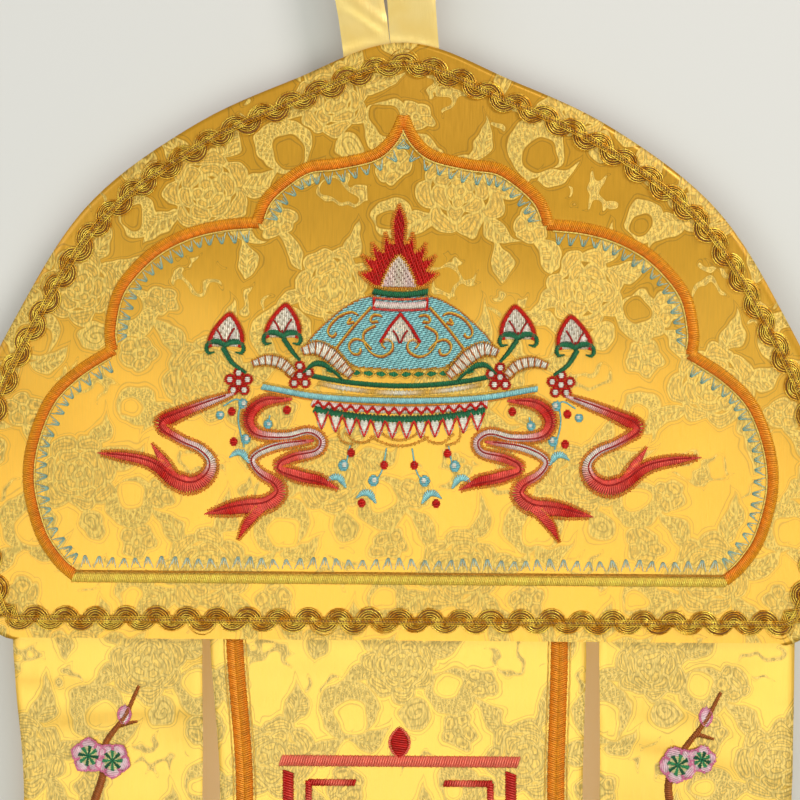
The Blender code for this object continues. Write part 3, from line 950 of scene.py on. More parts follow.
def sew(name, threads, place, ground, seed):
    # threads: blocks of ax, ay, bx, by, width, lift, loft and the colour at each end
    block = np.vstack(threads)
    rng = np.random.default_rng(seed)
    start, end = block[:, 0:2], block[:, 2:4]
    run = end - start
    length = np.maximum(np.linalg.norm(run, axis=1, keepdims=True), 1e-6)
    aside = np.column_stack([-run[:, 1], run[:, 0]]) / length
    s, r, t = stitchShape.T
    middle = start[:, None] + run[:, None] * t[None, :, None]
    middle = middle + aside[:, None] * (s[None, :] * block[:, 4:5] / 2)[..., None]
    bulge = np.where((t > 0.01) & (t < 0.99), 1.0, -0.15)
    lift = block[:, 5:6] + block[:, 6:7] * bulge + r[None, :] * block[:, 4:5] * stitch["rise"]
    points = place(middle[..., 0] * 0.001, middle[..., 1] * 0.001, ground + lift * 0.001)
    count, corners = len(block), len(stitchShape)
    first = (np.arange(count) * corners)[:, None, None]
    sides = (stitchSides[None] + first).reshape(-1, 4)
    ends = (stitchEnds[None] + first).reshape(-1, 3)
    mesh = bpy.data.meshes.new(name)
    mesh.from_pydata(points.reshape(-1, 3).tolist(), [], sides.tolist() + ends.tolist())
    shade = t[None, :, None]
    colour = block[:, None, 7:10] * (1.0 - shade) + block[:, None, 10:13] * shade
    colour = colour * rng.uniform(*stitch["shades"], (count, 1, 1))
    colour = np.concatenate([np.clip(colour, 0.0, 1.0), np.ones((count, corners, 1))], axis=2)
    dye = mesh.color_attributes.new("threadColour", "FLOAT_COLOR", "POINT")
    dye.data.foreach_set("color", colour.ravel())
    layer = mesh.uv_layers.new(name="threadUV")
    turn = (np.arctan2(r, s) / math.tau) % 1.0
    uv = np.stack(np.broadcast_arrays(t[None, :] * length, turn[None, :]), axis=-1)
    order = np.concatenate([sides.ravel(), ends.ravel()])
    layer.data.foreach_set("uv", uv.reshape(-1, 2)[order].ravel())
    mesh.materials.append(floss)
    mesh.shade_smooth()
    dress(linked(name, mesh), "embroidery")
    print(name, count, "stitches")


# colours of floss, by name
dyes = {
    "red": "#D92014",
    "coral": "#F25A4C",
    "deepRed": "#B01812",
    "orange": "#F2952A",
    "rust": "#C0641A",
    "cream": "#F0DDC6",
    "blush": "#F2CFCC",
    "teal": "#B8E8E8",
    "tealDeep": "#86CBD4",
    "gold": "#F0BC48",
    "green": "#2E8C5C",
    "deepGreen": "#1F5A3A",
    "white": "#F6EFE2",
    "ember": "#C81810",
    "brick": "#E0524A",
    "flame": "#EE7A24",
}


def alongColours(colours, count):
    # a colour, or several of them blended along the way, by the floss's name or in hex
    if isinstance(colours, str):
        colours = [colours]
    table = np.array([toLinear(dyes.get(colour, colour)) for colour in colours])
    return sampled(table, np.arange(len(table)), np.linspace(0.0, len(table) - 1.0, count))


def lay(threads, start, end, width, lift, loft, colours, other=None):
    # one block of threads; other colours their far ends
    first = alongColours(colours, len(start))
    second = first if other is None else alongColours(other, len(start))
    gauge = np.full((len(start), 3), (width, lift, loft))
    threads.append(np.column_stack([start, end, gauge, first, second]))


def directions(line):
    # at each point of a line, the way on and the way to its left
    way = np.gradient(line, axis=0)
    way /= np.linalg.norm(way, axis=1, keepdims=True)
    return way, np.column_stack([-way[:, 1], way[:, 0]])


def spread(values, count):
    return np.interp(np.linspace(0, 1, count), np.linspace(0, 1, len(values)), values)


def satinBand(threads, points, widths, colours, other=None, pitch=0.8, slant=0.3,
              lift=0.0, loft=0.45, tooth=0.0, thread=None):
    # stitches side by side across a band; tooth makes every second one shorter
    line = smoothLine(points, pitch)
    way, aside = directions(line)
    order = np.arange(len(line))
    half = spread(np.atleast_1d(widths), len(line)) / 2 - tooth * (order % 2)
    half = half + stitch["unevenness"] * np.sin(order * 2.4) * (half > 0.4)
    half = np.maximum(half, stitch["least"])[:, None]
    shift = way * slant * half
    lay(threads, line + aside * half + shift, line - aside * half - shift,
        thread or pitch * stitch["overlap"], lift, loft, colours, other)


def runLine(threads, points, colours, width=0.7, length=2.2, lift=0.0, loft=0.35):
    # stitches end to end
    line = smoothLine(points, length)
    way = np.diff(line, axis=0) * stitch["tuck"]
    lay(threads, line[:-1] - way, line[1:] + way, width, lift, loft, colours)


def fillArea(threads, outline, colours, angle=0.0, pitch=0.75, length=4.0, lift=0.0,
             loft=0.3, other=None):
    # rows of stitches inside a closed outline, each row's stitches offset like bricks
    outline = np.asarray(outline, float)
    turn = math.radians(angle)
    basis = np.array([[math.cos(turn), -math.sin(turn)], [math.sin(turn), math.cos(turn)]])
    local = outline @ basis
    ends = np.roll(local, -1, axis=0)
    found = []
    row = 0
    level = local[:, 1].min() + pitch / 2
    while level < local[:, 1].max():
        crossed = (local[:, 1] <= level) != (ends[:, 1] <= level)
        one, two = local[crossed], ends[crossed]
        cuts = np.sort(one[:, 0] + (level - one[:, 1]) / (two[:, 1] - one[:, 1])
                       * (two[:, 0] - one[:, 0]))
        for left, right in zip(cuts[::2], cuts[1::2]):
            if right - left < 0.5:
                continue
            seam = np.arange(math.floor(left / length) - 1, right / length + 1)
            seam = (seam + (row * stitch["bricks"]) % 1.0) * length
            seam = np.concatenate([[left], seam[(seam > left + 0.6) & (seam < right - 0.6)],
                                   [right]])
            found += [(a - 0.15, level, b + 0.15, level) for a, b in zip(seam, seam[1:])]
        row += 1
        level += pitch
    found = np.array(found)
    lay(threads, found[:, 0:2] @ basis.T, found[:, 2:4] @ basis.T,
        pitch * stitch["overlap"], lift, loft, colours, other)


def mirrored(threads):
    # the same stitches on the other side of the middle line
    return [block * ([-1, 1, -1, 1] + [1] * 9) for block in threads]


def bow(half, endUp, middleUp, count=9):
    # a sagging or rising line across the middle
    x = np.linspace(-half, half, count)
    return np.column_stack([x, middleUp + (endUp - middleUp) * (x / half) ** 2])


def blob(x, up, across, corners):
    # a round outline
    angle = np.linspace(0.0, math.tau, corners, endpoint=False)
    return np.column_stack([across / 2 * np.cos(angle), across / 2 * np.sin(angle)]) + (x, up)


def bothSides(half):
    # a whole outline from its right half, which starts and ends on the middle line
    return np.array(half + [(-x, up) for x, up in half[-2:0:-1]])


def closed(outline):
    outline = np.asarray(outline, float)
    return np.vstack([outline, outline[:1]])


headGround = head["thickness"] / 2

frameLine = {
    "width": 5.4,
    "outer": "#FFB224",
    "inner": "#EC7606",
    "edge": "#FFDA70",
    "baseBand": "#FFD85A",
    "baseLine": "#C8861E",
    "pitch": 0.8,
    # right half, in arcs from one cusp to the next
    "arcs": (
        ((0.0, 221.5), (4.6, 212.0), (12.8, 204.6), (29.0, 200.6), (41.4, 198.9),
         (51.5, 192.7), (60.0, 184.4), (64.0, 174.5)),
        ((64.0, 174.5), (79.6, 173.0), (95.3, 168.7), (110.4, 160.0), (123.6, 144.8),
         (127.8, 128.0), (127.0, 118.0)),
        ((127.0, 118.0), (141.2, 109.0), (152.5, 98.3), (158.8, 86.0), (162.6, 72.0),
         (163.2, 59.2), (160.8, 46.6), (156.6, 35.0), (149.6, 25.0), (143.3, 19.4)),
    ),
    "baseUp": 19.4,
    "baseHalf": 143.3,
    "teal": ("#D6DEBE", "#82B2AE"),
    "pale": ("#FCF6DC", "#8FB2A8"),
    "markPitch": 5.5,
    "markLength": 5.0,
    "markThread": 0.50,
    "markSpread": 2.1,
    "markLeans": (-1.0, -0.25, 0.4, 1.05),
}


def edgeMarks(threads, line, colours):
    # small four-stroke marks that point from the frame line to the right of its way
    way, aside = directions(line)
    size = frameLine["markLength"]
    for k in range(1, len(line) - 1):
        foot = line[k] - aside[k] * (frameLine["width"] / 2 + 0.4)
        tip = foot - aside[k] * size * (1.0 + 0.12 * math.sin(7.3 * k))
        tip = tip + way[k] * 0.7 * math.sin(5.1 * k)
        for lean in frameLine["markLeans"]:
            base = foot + way[k] * lean * frameLine["markSpread"]
            base = base - aside[k] * 1.7 * (abs(lean) < 0.5)
            end = tip + way[k] * 0.35 * lean
            lay(threads, [base], [end], frameLine["markThread"], 0.0, 0.3, *colours)


def makeFrameLine():
    threads, right = [], []
    for arc in frameLine["arcs"]:
        satinBand(right, arc, frameLine["width"], frameLine["outer"], frameLine["inner"],
                  pitch=frameLine["pitch"], loft=0.75, slant=0.25)
        line = smoothLine(arc, 0.5)
        inner = line - directions(line)[1] * (frameLine["width"] / 2)
        runLine(right, inner[4:-4:6], frameLine["edge"], width=0.8, lift=0.1)
    threads += right + mirrored(right)
    half, up = frameLine["baseHalf"], frameLine["baseUp"]
    satinBand(threads, ((-half, up - 1.2), (half, up - 1.2)), 4.4, frameLine["baseBand"],
              pitch=frameLine["pitch"], loft=0.6)
    runLine(threads, ((-half, up + 1.6), (half, up + 1.6)), frameLine["baseLine"],
            width=0.9, lift=0.4)
    sew("frame_line_stitches", threads, onHead, headGround, 3)
    right = []
    for arc in frameLine["arcs"]:
        edgeMarks(right, smoothLine(arc, frameLine["markPitch"]), frameLine["teal"])
    marks = right + mirrored(right)
    line = smoothLine(((half, up), (-half, up)), frameLine["markPitch"])
    edgeMarks(marks, line, frameLine["pale"])
    sew("frame_edge_stitches", marks, onHead, headGround, 4)


makeFrameLine()

emblem = {
    "axis": -0.7,             # mm; the emblem sits a little left of the head's middle
    "combPitch": 0.92,
    "combThread": 0.66,
    "combTooth": 0.16,        # of the reach, by which every second tooth is shorter
}


def sewEmblem(name, threads, seed):
    shift = np.array([emblem["axis"], 0.0, emblem["axis"]] + [0.0] * 10)
    sew(name, [block + shift for block in threads], onHead, headGround, seed)


def petal(threads, base, tip, width, colours, edge=None, pitch=0.75, lift=0.0, loft=0.4,
          edgeWidth=1.1):
    # a satin petal from base to tip, widest near the middle, with a corded edge
    base, tip = np.array(base, float), np.array(tip, float)
    axis = (base, base + (tip - base) / 2, tip)
    rise = np.clip(np.linspace(0.0, 1.0, 9) * 0.94 + 0.06, 0, 1)
    widths = width * np.sin(np.pi * rise) ** 0.8
    satinBand(threads, axis, widths, colours, pitch=pitch, lift=lift, loft=loft, slant=0.15)
    if edge:
        line = smoothLine(axis, 0.6)
        aside = directions(line)[1] * spread(widths, len(line))[:, None] / 2
        for side in (-1, 1):
            satinBand(threads, (line + aside * side)[::3], edgeWidth, edge, pitch=0.85,
                      lift=lift + 0.2, loft=0.35)


def combEdge(threads, points, reach, colours, other=None, lift=0.35, straight=False):
    # short stitches across a line, well apart and of uneven reach, like a comb's teeth
    pairs = zip(points, points[1:]) if straight else [points]
    for part in pairs:
        satinBand(threads, part, reach, colours, other, pitch=emblem["combPitch"],
                  thread=emblem["combThread"], lift=lift, loft=0.3,
                  tooth=reach * emblem["combTooth"], slant=0.1)


def lotusBud(threads, base, wide, tall, lean):
    # a closed bud: pointed arch, red rim, petals parted by a V, on curled green sepals
    base = np.array(base, float)
    arch = np.array([(-0.46, 0.0), (-0.50, 0.22), (-0.40, 0.52), (-0.20, 0.82), (0.0, 1.0)])
    arch = np.vstack([arch, arch[-2::-1] * (-1, 1)]) * (wide, tall)
    arch[:, 0] += arch[:, 1] * lean
    fillArea(threads, smoothLine(arch, 1.0) + base, ["cream", "white"],
             angle=90.0, pitch=0.8, length=5.0)
    for line in (((-0.04, 0.08), (-0.14, 0.34), (-0.28, 0.56)),
                 ((0.04, 0.08), (0.14, 0.34), (0.28, 0.56)), ((0.0, 0.0), (0.0, 0.22))):
        runLine(threads, np.array(line) * (wide, tall) + base, "deepRed",
                width=0.9, length=1.6, lift=0.4)
    for side in (-1, 1):
        petal(threads, base + (side * wide * 0.20, tall * 0.06),
              base + (side * wide * 0.27, tall * 0.46), wide * 0.24,
              ["blush", "white"], None, lift=0.2)
    satinBand(threads, arch * (0.96, 0.98) + base, 1.9, "red", pitch=0.8, lift=0.4, slant=0.2)
    combEdge(threads, arch * (1.12, 1.06) + base, 0.9, "orange", lift=0.2)
    for side in (-1, 1):
        curl = np.array([(0.0, 0.05), (0.20, 0.16), (0.44, 0.14), (0.56, -0.04), (0.50, -0.22),
                         (0.34, -0.20)]) * (side * wide, tall * 0.9) + base
        satinBand(threads, curl, (2.4, 3.0, 2.4, 2.0, 1.8, 0.8), "green", "deepGreen", lift=0.5)


def berries(threads, x, up, reach, count=5):
    for k in range(count + 1):
        away = 0.62 * reach if k else 0.0
        angle = k * math.tau / count + 0.3
        spot = (x + away * math.cos(angle), up + away * math.sin(angle))
        fillArea(threads, blob(*spot, reach * 0.62, 10), "red", pitch=0.8, length=6.0, lift=0.2)
        fillArea(threads, blob(*spot, reach * 0.36, 8), "white", pitch=0.75, length=6.0, lift=0.8)
        combEdge(threads, closed(blob(*spot, reach * 0.66, 10)), 1.0, "red", lift=0.4)


def makeFlame():
    threads = []
    half = [(0.0, 183.0), (2.0, 178.8), (2.9, 175.2), (2.7, 170.6), (2.4, 166.0), (4.0, 166.4),
            (5.8, 170.6), (6.6, 166.4), (6.8, 162.2), (8.8, 163.0), (11.4, 166.0), (11.4, 162.2),
            (10.4, 158.9), (12.6, 159.2), (15.6, 160.6), (14.0, 157.0), (12.0, 154.2),
            (14.0, 153.4), (16.8, 152.8), (13.8, 149.6), (10.4, 147.0), (0.0, 146.6)]
    whole = bothSides(half) - (0.8, 0.0)
    fillArea(threads, whole, ["red", "ember", "red"], angle=80.0, pitch=0.74, length=3.0, loft=0.4)
    combEdge(threads, closed(whole * (1.03, 1.0) - (0.0, 0.2)), 2.0, "orange", straight=True)
    # the jewel in the flame
    jewel = np.array([(-7.6, 146.6), (-6.2, 151.2), (-3.2, 157.0), (0.0, 160.4), (3.2, 157.0),
                      (6.2, 151.2), (7.6, 146.6)]) - (0.8, 0.0)
    fillArea(threads, jewel, ["blush", "cream", "blush"], angle=90.0,
             pitch=0.8, length=3.4, lift=0.4, loft=0.7)
    combEdge(threads, jewel, 2.2, "orange", "gold", lift=0.9)
    sewEmblem("flame_jewel_stitches", threads, 5)


def makeDome():
    threads, right = [], []
    half = [(0.0, 142.8), (12.0, 142.8), (18.0, 140.9), (25.5, 136.6), (32.0, 131.0), (37.4, 125.8),
            (40.6, 121.7), (34.0, 121.4), (27.5, 119.4), (23.5, 114.8), (19.0, 111.6), (0.0, 110.4)]
    whole = bothSides(half)
    # the flecks are the gaps between rows, where the ground shows dark
    fillArea(threads, whole, "teal", angle=12.0, pitch=0.92, length=2.6,
             other="tealDeep", loft=0.45)
    combEdge(right, half[1:7], 1.2, "orange", "rust")
    combEdge(right, half[7:], 1.2, "gold", "rust")
    # scrollwork over the dome
    for line in (((12.6, 137.4), (20.5, 128.6), (27.8, 119.2)),
                 ((18.5, 134.0), (21.3, 135.2), (26.9, 133.0), (30.9, 128.5), (31.2, 125.4),
                  (29.0, 124.2), (27.8, 126.0)),
                 ((21.4, 132.6), (23.0, 130.0), (20.0, 131.0)),
                 ((10.7, 129.4), (15.7, 126.2), (15.4, 121.7), (12.4, 117.4), (7.9, 115.8),
                  (3.6, 118.2), (3.1, 121.7), (5.8, 123.4), (8.2, 121.4), (6.4, 119.6)),
                 ((12.4, 119.2), (15.7, 122.4), (19.7, 123.4), (22.2, 120.6), (20.8, 117.2),
                  (17.6, 116.8), (17.0, 119.2)),
                 ((8.0, 133.6), (11.6, 134.0), (13.0, 131.0), (9.6, 131.2))):
        runLine(right, line, "rust", width=0.9, length=1.5, lift=0.45)
        runLine(right, np.array(line) + (0.35, 0.55), "gold", width=0.8, length=1.5, lift=0.6)
    threads += right + mirrored(right)
    # the bud on the dome's middle
    arch = np.array([(-8.6, 122.6), (-4.6, 129.2), (0.0, 134.8), (4.6, 129.2), (8.6, 122.6)])
    fillArea(threads, arch * (0.86, 1.0), ["cream", "white"], angle=90.0,
             pitch=0.8, length=4.0, lift=0.5)
    for a, b in zip(arch, arch[1:]):
        satinBand(threads, (a, b), 1.5, "red", pitch=0.8, lift=0.9, slant=0.2)
    for side in (-1, 1):
        runLine(threads, ((side * 0.3, 122.0), (side * 1.6, 125.4), (side * 3.2, 127.6)),
                "deepRed", width=0.9, length=1.4, lift=1.0)
    # the collar between dome and jewel
    satinBand(threads, bow(11.0, 139.2, 138.4), 3.4, "blush", "white",
              lift=0.4, loft=0.8, pitch=0.85)
    for level in (141.2, 136.4):
        satinBand(threads, bow(11.8, level + 0.6, level), 1.2, "brick", lift=0.7)
    for side in (-1, 1):
        satinBand(threads, ((side * 11.6, 141.8), (side * 11.6, 136.6)), 1.4, "red", lift=0.7)
    satinBand(threads, bow(11.6, 144.6, 143.2), 2.9, "green", "deepGreen", lift=0.5, loft=0.7)
    combEdge(threads, bow(12.4, 146.9, 145.6), 1.5, "gold", "orange", lift=0.9)
    combEdge(threads, bow(12.6, 142.4, 141.2), 1.1, "gold", "orange", lift=0.9)
    sewEmblem("dome_stitches", threads, 6)


def makeCanopy():
    # the bands, beads and valance under the dome
    threads, right = [], []
    for x in np.arange(2.75, 34.0, 5.5):
        up = 108.2 + 2.4 * (x / 38.0) ** 2
        petal(right, (x - 2.3, up), (x + 2.3, up + 0.4), 3.0, "green",
              "gold", lift=0.2, edgeWidth=0.8)
    satinBand(threads, bow(40.0, 107.8, 103.4), 2.4, "green", "deepGreen")
    satinBand(threads, bow(35.5, 104.2, 100.3), 2.4, ["gold", "white"] * 3 + ["gold"],
              lift=0.1, tooth=0.35)
    satinBand(threads, ((-60, 102.5), (-34, 98.2), (0, 96.8), (34, 98.2), (60, 102.5)), 2.8,
              "teal", "tealDeep")
    runLine(threads, ((-60, 104.4), (-34, 100.1), (0, 98.6), (34, 100.1), (60, 104.4)),
            "gold", lift=0.1)
    runLine(threads, ((-59, 100.8), (-34, 96.4), (0, 95.0), (34, 96.4), (59, 100.8)),
            "orange", lift=0.1)
    satinBand(threads, bow(38.0, 95.8, 92.8), 3.4, "blush", "white", pitch=0.9)
    zigzag = bow(38.0, 95.4, 92.4, 33)
    zigzag[:, 1] += np.where(np.arange(len(zigzag)) % 2, 1.3, -1.3)
    for a, b in zip(zigzag, zigzag[1:]):
        satinBand(threads, (a, b), 1.2, "red", pitch=0.9, lift=0.5)
    satinBand(threads, bow(37.0, 93.0, 88.8), 3.6, "deepGreen", "green", tooth=0.5, lift=0.2)
    for x in np.arange(3.1, 36.0, 6.2):
        up = 88.0 + 4.4 * (x / 36.0) ** 2
        for side in (-1, 1):
            petal(right, (x + side * 0.4, up - 7.2), (x + side * 0.9, up), 3.2,
                  "white", None, lift=0.1)
        for side in (-1, 1):
            runLine(right, ((x + side * 3.0, up), (x, up - 7.6)), "red",
                    width=1.0, length=2.4, lift=0.3)
    for level, half in ((79.6, 9.0), (77.0, 12.5)):
        combEdge(threads, bow(half, level + 4.0, level), 1.6, "orange", "gold")
    for arc in (((9.4, 82.8), (13.6, 79.0), (19.0, 78.6), (23.6, 82.4)),
                ((20.6, 77.4), (25.8, 79.6), (27.0, 86.0))):
        combEdge(right, arc, 1.6, "orange", "gold")
    # padded garland on each shoulder, in blocks parted by rust stitches
    for line, widths in ((((42.4, 118.2), (36.5, 119.6), (30.4, 116.6), (25.6, 112.0), (21.3, 108.0)),
                          (3.4, 6.2, 6.6, 5.8, 3.6)),
                         (((64.2, 112.6), (58.0, 114.2), (51.4, 112.6), (46.6, 108.4)),
                          (2.6, 4.6, 5.0, 3.6))):
        satinBand(right, line, widths, ["white", "cream"], pitch=0.95, lift=0.3, loft=1.2)
        path = smoothLine(line, 2.9)
        aside = directions(path)[1] * spread(widths, len(path))[:, None] / 2
        for foot, top in zip(path + aside, path - aside):
            runLine(right, (foot, top), "rust", width=0.7, length=2.0, lift=1.5)
        for edge in (path + aside * 1.08, path - aside * 1.08):
            combEdge(right, edge, 1.3, "orange", "gold", lift=0.9)
    for x, up in ((70.5, 104.4), (43.8, 107.6)):
        berries(right, x, up, 6.6)
    satinBand(right, ((25.0, 105.8), (31.0, 111.4), (37.0, 112.8), (42.0, 109.0)),
              (0.8, 2.6, 2.8, 0.8), "green", "deepGreen", lift=0.6)
    lotusBud(right, (76.6, 120.0), 14.6, 14.4, -0.14)
    lotusBud(right, (51.6, 124.2), 14.6, 14.4, -0.10)
    satinBand(right, ((77.4, 119.4), (73.4, 113.0), (67.6, 108.8)), (2.6, 2.2, 1.4),
              "green", "deepGreen", lift=0.4)
    satinBand(right, ((51.0, 123.6), (47.4, 118.4), (44.0, 114.4)), (2.4, 2.2, 1.4),
              "green", "deepGreen", lift=0.4)
    threads += right + mirrored(right)
    sewEmblem("canopy_stitches", threads, 7)


def ribbon(threads, points, widths, tones, lift):
    # a twisting ribbon, one tone to each point: red where it shows its face, pale with a
    # red ladder where it turns; toothed orange edges
    satinBand(threads, points, widths, tones, pitch=0.85, lift=lift, loft=0.55, slant=0.2)
    line = smoothLine(points, 0.8)
    aside = directions(line)[1] * (spread(widths, len(line))[:, None] / 2 + 0.35)
    for side in (-1.0, 1.0):
        edge = (line + aside * side)[1:-1:3]
        combEdge(threads, edge, 1.9, "orange", "flame", lift=lift + 0.1)
    runLine(threads, line[4:-5:4] + aside[4:-5:4] * 0.25, "deepRed", width=0.75,
            length=1.8, lift=lift + 0.5)


def makeRibbons():
    right = []
    red, deep, pale, white = "coral", "red", "blush", "white"    # as they look side by side
    ribbon(right, ((37.8, 79.2), (54.1, 76.6), (64.2, 71.3), (61.2, 65.1), (54.1, 60.7),
                   (52.4, 55.9), (58.5, 51.0), (69.5, 49.7), (84.9, 46.6)),
           (1.4, 3.6, 3.6, 3.0, 4.6, 6.6, 7.6, 5.8, 0.6),
           [red, pale, white, pale, red, red, red, deep, red], 0.0)
    satinBand(right, ((60.0, 50.5), (66.0, 43.5), (70.4, 35.6)), (6.5, 5.0, 0.6),
              [red, deep], pitch=0.85)
    combEdge(right, ((62.6, 50.0), (68.4, 43.6), (70.8, 35.6)), 1.4, "orange")
    combEdge(right, ((57.0, 49.0), (63.4, 42.6), (70.0, 35.2)), 1.4, "orange")
    ribbon(right, ((47.5, 97.2), (59.8, 95.9), (66.0, 89.3), (62.6, 82.3), (49.7, 81.0),
                   (39.6, 83.2), (33.9, 79.6), (36.0, 74.4), (46.6, 71.7), (53.2, 67.3),
                   (43.0, 63.4), (34.3, 61.6), (26.4, 58.0)),
           (1.4, 4.4, 6.0, 4.6, 3.6, 3.4, 3.2, 3.4, 4.4, 3.8, 5.4, 4.8, 0.5),
           [red, red, deep, red, pale, white, pale, pale, red, red, red, deep, red], 0.3)
    ribbon(right, ((73.0, 99.4), (84.9, 95.0), (96.8, 90.2), (104.7, 85.6), (95.9, 79.2),
                   (87.1, 75.2), (82.3, 69.5), (84.5, 62.9), (91.5, 59.4), (99.4, 62.0),
                   (106.9, 67.8), (115.7, 70.8), (132.0, 73.0)),
           (1.3, 3.4, 4.4, 6.2, 3.6, 3.4, 4.0, 6.4, 8.0, 6.0, 4.6, 3.8, 0.5),
           [pale, pale, red, deep, red, pale, white, red, red, deep, red, red, red], 0.2)
    satinBand(right, ((99.0, 62.0), (103.5, 69.5), (108.5, 77.0)), (5.5, 4.6, 0.6),
              [red, red], pitch=0.85, lift=0.1)
    combEdge(right, ((96.0, 63.6), (100.8, 70.6), (108.0, 77.4)), 1.4, "orange")
    threads = right + mirrored(right)
    sewEmblem("ribbon_stitches", threads, 8)


def makeTassels():
    # strings of dots, drops and bells that hang between the ribbons
    right = []
    for x, up in ((73.5, 91.5), (49.3, 92.4), (72.6, 78.3), (21.1, 73.9), (6.6, 68.6),
                  (16.3, 51.9)):
        fillArea(right, blob(x, up, 3.6, 12), "red", pitch=0.75, length=6.0, loft=0.6)
    for x, up, size in ((68.6, 95.0, 4.4), (57.6, 86.2, 4.0), (67.3, 79.6, 4.4),
                        (24.4, 68.4, 4.8), (11.2, 61.8, 4.8), (78.6, 90.0, 3.8)):
        fillArea(right, blob(x, up, size, 12), "tealDeep", pitch=0.7, length=6.0, loft=0.6)
        fillArea(right, blob(x - 0.4, up + 0.3, size * 0.45, 8),
                 "white", pitch=0.7, length=6.0, lift=0.6)
    for x, up in ((27.4, 62.6), (14.2, 55.8), (70.0, 73.0)):
        satinBand(right, ((x - 4.0, up - 3.6), (x - 1.6, up + 0.2), (x + 1.2, up + 0.6),
                          (x + 4.2, up - 1.4)), (1.0, 3.4, 3.2, 0.8), "teal", "tealDeep")
    for line in (((21.4, 78.0), (22.6, 72.0), (24.0, 66.0)), ((5.6, 76.0), (7.6, 66.0), (11.6, 60.0)),
                 ((69.0, 97.5), (70.6, 88.0), (68.0, 76.0)), ((56.8, 90.0), (57.8, 84.0)),
                 ((66.0, 92.0), (71.0, 97.0), (77.0, 94.0))):
        runLine(right, line, "tealDeep", width=0.7, length=1.6)
    threads = right + mirrored(right)
    sewEmblem("tassel_stitches", threads, 9)


makeFlame()
makeDome()
makeCanopy()
makeRibbons()
makeTassels()
print("head embroidered")

panelGround = panelCloth["thickness"] / 2

stripes = {
    "half": 3.9,              # mm; each stripe is two halves with slanted stitches
    "inset": (10.6, -11.6),   # of each stripe's middle from the panel's left and right edge
    "colours": ("#FFA82A", "#EE8206"),
    "crossing": 0.45,         # the two halves' stitches pass each other by twice this
    "unevenness": 0.12,
    "edge": "#F8C85A",
    "start": 2.0,             # below the seam
    "end": 16.0,              # above the foot
    "pitch": 0.95,
    "slant": 1.7,
}


def makeStripes():
    panel = panels["centre_panel"]
    drop = np.arange(stripes["start"], panel["length"] * 1000.0 - stripes["end"], stripes["pitch"])
    edges = zip(("left", "right"), panelEdges(panel, drop * 0.001), stripes["inset"])
    for name, edge, inset in edges:
        middle = 1000.0 * edge + inset
        threads = []
        for side in (-1.0, 1.0):
            uneven = stripes["unevenness"] * np.sin(np.arange(len(drop)) * 2.1)
            outer = middle + side * (stripes["half"] + uneven)
            inner = middle - side * stripes["crossing"]
            lay(threads, np.column_stack([inner, -drop - stripes["slant"]]),
                np.column_stack([outer, -drop]), stripes["pitch"] * 1.08, 0.0, 0.55,
                *stripes["colours"])
            runLine(threads, np.column_stack([outer + side * 0.9, -drop]), stripes["edge"],
                    width=0.6, length=4.0)
        sew(name + "_stripe_stitches", threads, onPanel("centre_panel"), panelGround, 12)


makeStripes()

# A fretted frame with an endless knot in it stands where the panel has its ornament
ornament = {
    "red": "#CC1C12",
    # salmon floss blended along the red bands as painted highlight
    "paintedHighlight": "#FF7C64",
    "first": 47.0,            # mm below the seam to the first one's top
    "spacing": 129.0,
    "count": 6,
    "half": 49.0,
    "height": 86.0,
    "finial": 13.0,
    "gap": 2.0,
    "corner": 9.5,            # by how much the inner frame stands in
    "innerBand": 3.2,
    "knotStep": 9.0,
    "knotReach": 18.0,
    "knotBand": 4.0,
    "band": 5.2,
    "pitch": 1.1,
}


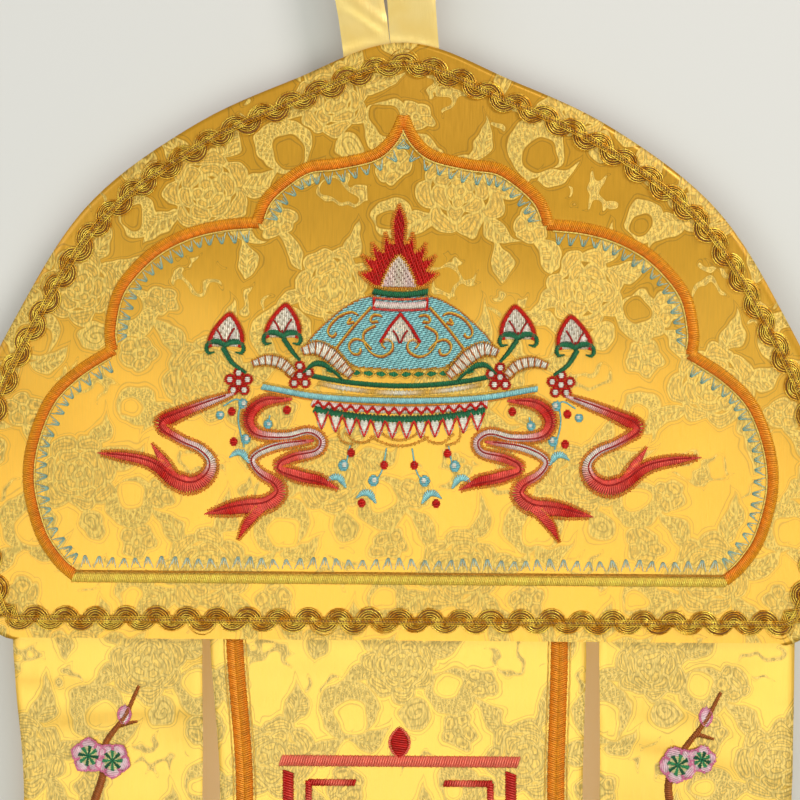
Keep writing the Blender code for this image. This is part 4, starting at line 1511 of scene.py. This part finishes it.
def makeOrnaments():
    threads = []
    red, paintedHighlight = ornament["red"], ornament["paintedHighlight"]
    band, half, pitch = ornament["band"], ornament["half"], ornament["pitch"]
    inward, step, reach = ornament["corner"], ornament["knotStep"], ornament["knotReach"]

    def bar(points, width, lift=0.0, tones=None):
        satinBand(threads, points, width, tones or [red, paintedHighlight, red],
                  None if tones else [red, red, paintedHighlight, red], pitch=pitch, lift=lift, loft=0.7,
                  slant=0.35)

    for index in range(ornament["count"]):
        top = -(ornament["first"] + index * ornament["spacing"])
        # finial
        petal(threads, (0.0, top - ornament["finial"]), (0.0, top), 9.0, red, paintedHighlight, pitch=1.0,
              loft=0.7)
        # frame with stepped corners
        upper = top - ornament["finial"] - ornament["gap"]
        lower = upper - ornament["height"]
        # painted highlight: the top bar all in the light salmon, the lower bar red
        bar(((-half - 3.0, upper), (half + 3.0, upper)), band, tones=[paintedHighlight])
        bar(((-half, lower), (half, lower)), band)
        for side in (-1.0, 1.0):
            bar(((side * half, upper - band), (side * half, lower + band)), band)
            corner = side * (half - 9.0)
            for x, depth in ((side * 20.0, inward), (corner, 27.0)):
                for level, way in ((upper, -1.0), (lower, 1.0)):
                    bar(((corner, level + way * inward), (x, level + way * depth)),
                        ornament["innerBand"])
        # endless knot: bands on both diagonals, joined by loops round the outside
        middle = (upper + lower) / 2
        for k in (-1.5, -0.5, 0.5, 1.5):
            for lean in (-1.0, 1.0):
                c, s = math.cos(math.pi / 4), math.sin(math.pi / 4) * lean
                start = np.array([-s, c]) * k * step
                line = [np.array([c, s]) * d + start + (0.0, middle)
                        for d in (-reach, -6.0, 6.0, reach)]
                bar(line, ornament["knotBand"], lift=0.5 * (lean > 0) + 0.1)
        for turn in range(4):
            angle = math.pi / 4 + turn * math.pi / 2
            c, s = math.cos(angle), math.sin(angle)
            for k in (-1.0, 1.0):
                centre = np.array([c * reach - s * k * step, s * reach + c * k * step])
                sweep = np.linspace(-math.pi / 2, math.pi / 2, 7) + angle
                loop = centre + np.column_stack([np.cos(sweep), np.sin(sweep)]) * step / 2
                bar(loop + (0.0, middle), 3.6, lift=0.2)
    sew("ornament_stitches", threads, onPanel("centre_panel"), panelGround, 13)


makeOrnaments()

spray = {
    "branch": ("#C86E2C", "#94501E"),
    "pink": ("#FFF4F0", "#F8AEC8"),
    "edge": "#F08AB2",
    "green": ("#3E9C66", "#1F6A48"),
    "pistil": "#F4E9A8",
    "drops": (0.0, 190.0, 382.0, 575.0),
}


def blossom(threads, x, up, reach, turn):
    for k in range(5):
        angle = math.radians(turn + 72 * k)
        way = np.array([math.cos(angle), math.sin(angle)])
        petal(threads, way * reach * 0.30 + (x, up), way * reach + (x, up), reach * 0.92,
              spray["pink"], spray["edge"], pitch=0.8, lift=0.8, edgeWidth=0.9)
    fillArea(threads, blob(x, up, reach * 1.05, 10), spray["pistil"],
             pitch=0.8, length=6.0, lift=1.3)
    for k in range(8):
        angle = math.radians(turn + 36 + 45 * k)
        far = np.array([x, up]) + 0.52 * reach * np.array([math.cos(angle), math.sin(angle)])
        satinBand(threads, ((x, up), far), (0.7, 1.8), spray["green"][k % 2], pitch=0.75,
                  lift=1.6, loft=0.3)


def makeSprays(name, branch, twigs, buds, blossoms, middle):
    threads = []
    for index, shift in enumerate(spray["drops"]):
        one = []
        satinBand(one, branch, (1.6, 3.0, 4.2, 3.0), *spray["branch"], pitch=0.9, loft=0.6)
        for twig in twigs:
            satinBand(one, twig, (2.6, 1.2), *spray["branch"], pitch=0.9)
        for x, up, reach in buds:
            petal(one, (x, up - reach), (x + 0.8, up + reach), reach * 1.3, spray["pink"],
                  spray["edge"], pitch=0.8)
        for x, up, reach, turn in blossoms:
            blossom(one, x, up, reach, turn)
        for block in one:
            block = block.copy()
            if index % 2:
                block[:, [0, 2]] = 2 * middle - block[:, [0, 2]]
            block[:, [1, 3]] -= shift
            threads.append(block)
    sew(name, threads, onPanel(name.replace("_sprays", "")), panelGround, 14)


makeSprays("left_streamer_sprays",
           ((-115.0, -30.0), (-121.0, -43.0), (-130.0, -56.0), (-131.0, -70.0), (-137.0, -92.0),
            (-133.0, -118.0)),
           (((-123.0, -47.0), (-116.0, -45.5)), ((-134.0, -82.0), (-122.0, -92.0))),
           ((-121.6, -42.0, 4.2), (-121.0, -93.0, 3.4)),
           ((-137.0, -60.5, 7.8, 90), (-126.4, -62.5, 7.8, 54), (-138.0, -98.0, 7.4, 10)),
           -126.0)
makeSprays("right_streamer_sprays",
           ((141.5, -31.0), (135.0, -43.0), (124.5, -57.0), (118.5, -72.0), (122.0, -96.0),
            (117.0, -118.0)),
           (((131.0, -49.0), (138.0, -51.0)), ((119.5, -84.0), (131.0, -93.0))),
           ((134.6, -41.0, 4.2), (132.0, -94.0, 3.4)),
           ((122.6, -62.5, 8.4, 40), (133.0, -60.0, 6.4, 80), (118.0, -100.0, 7.4, 10)),
           130.0)
print("panels embroidered")
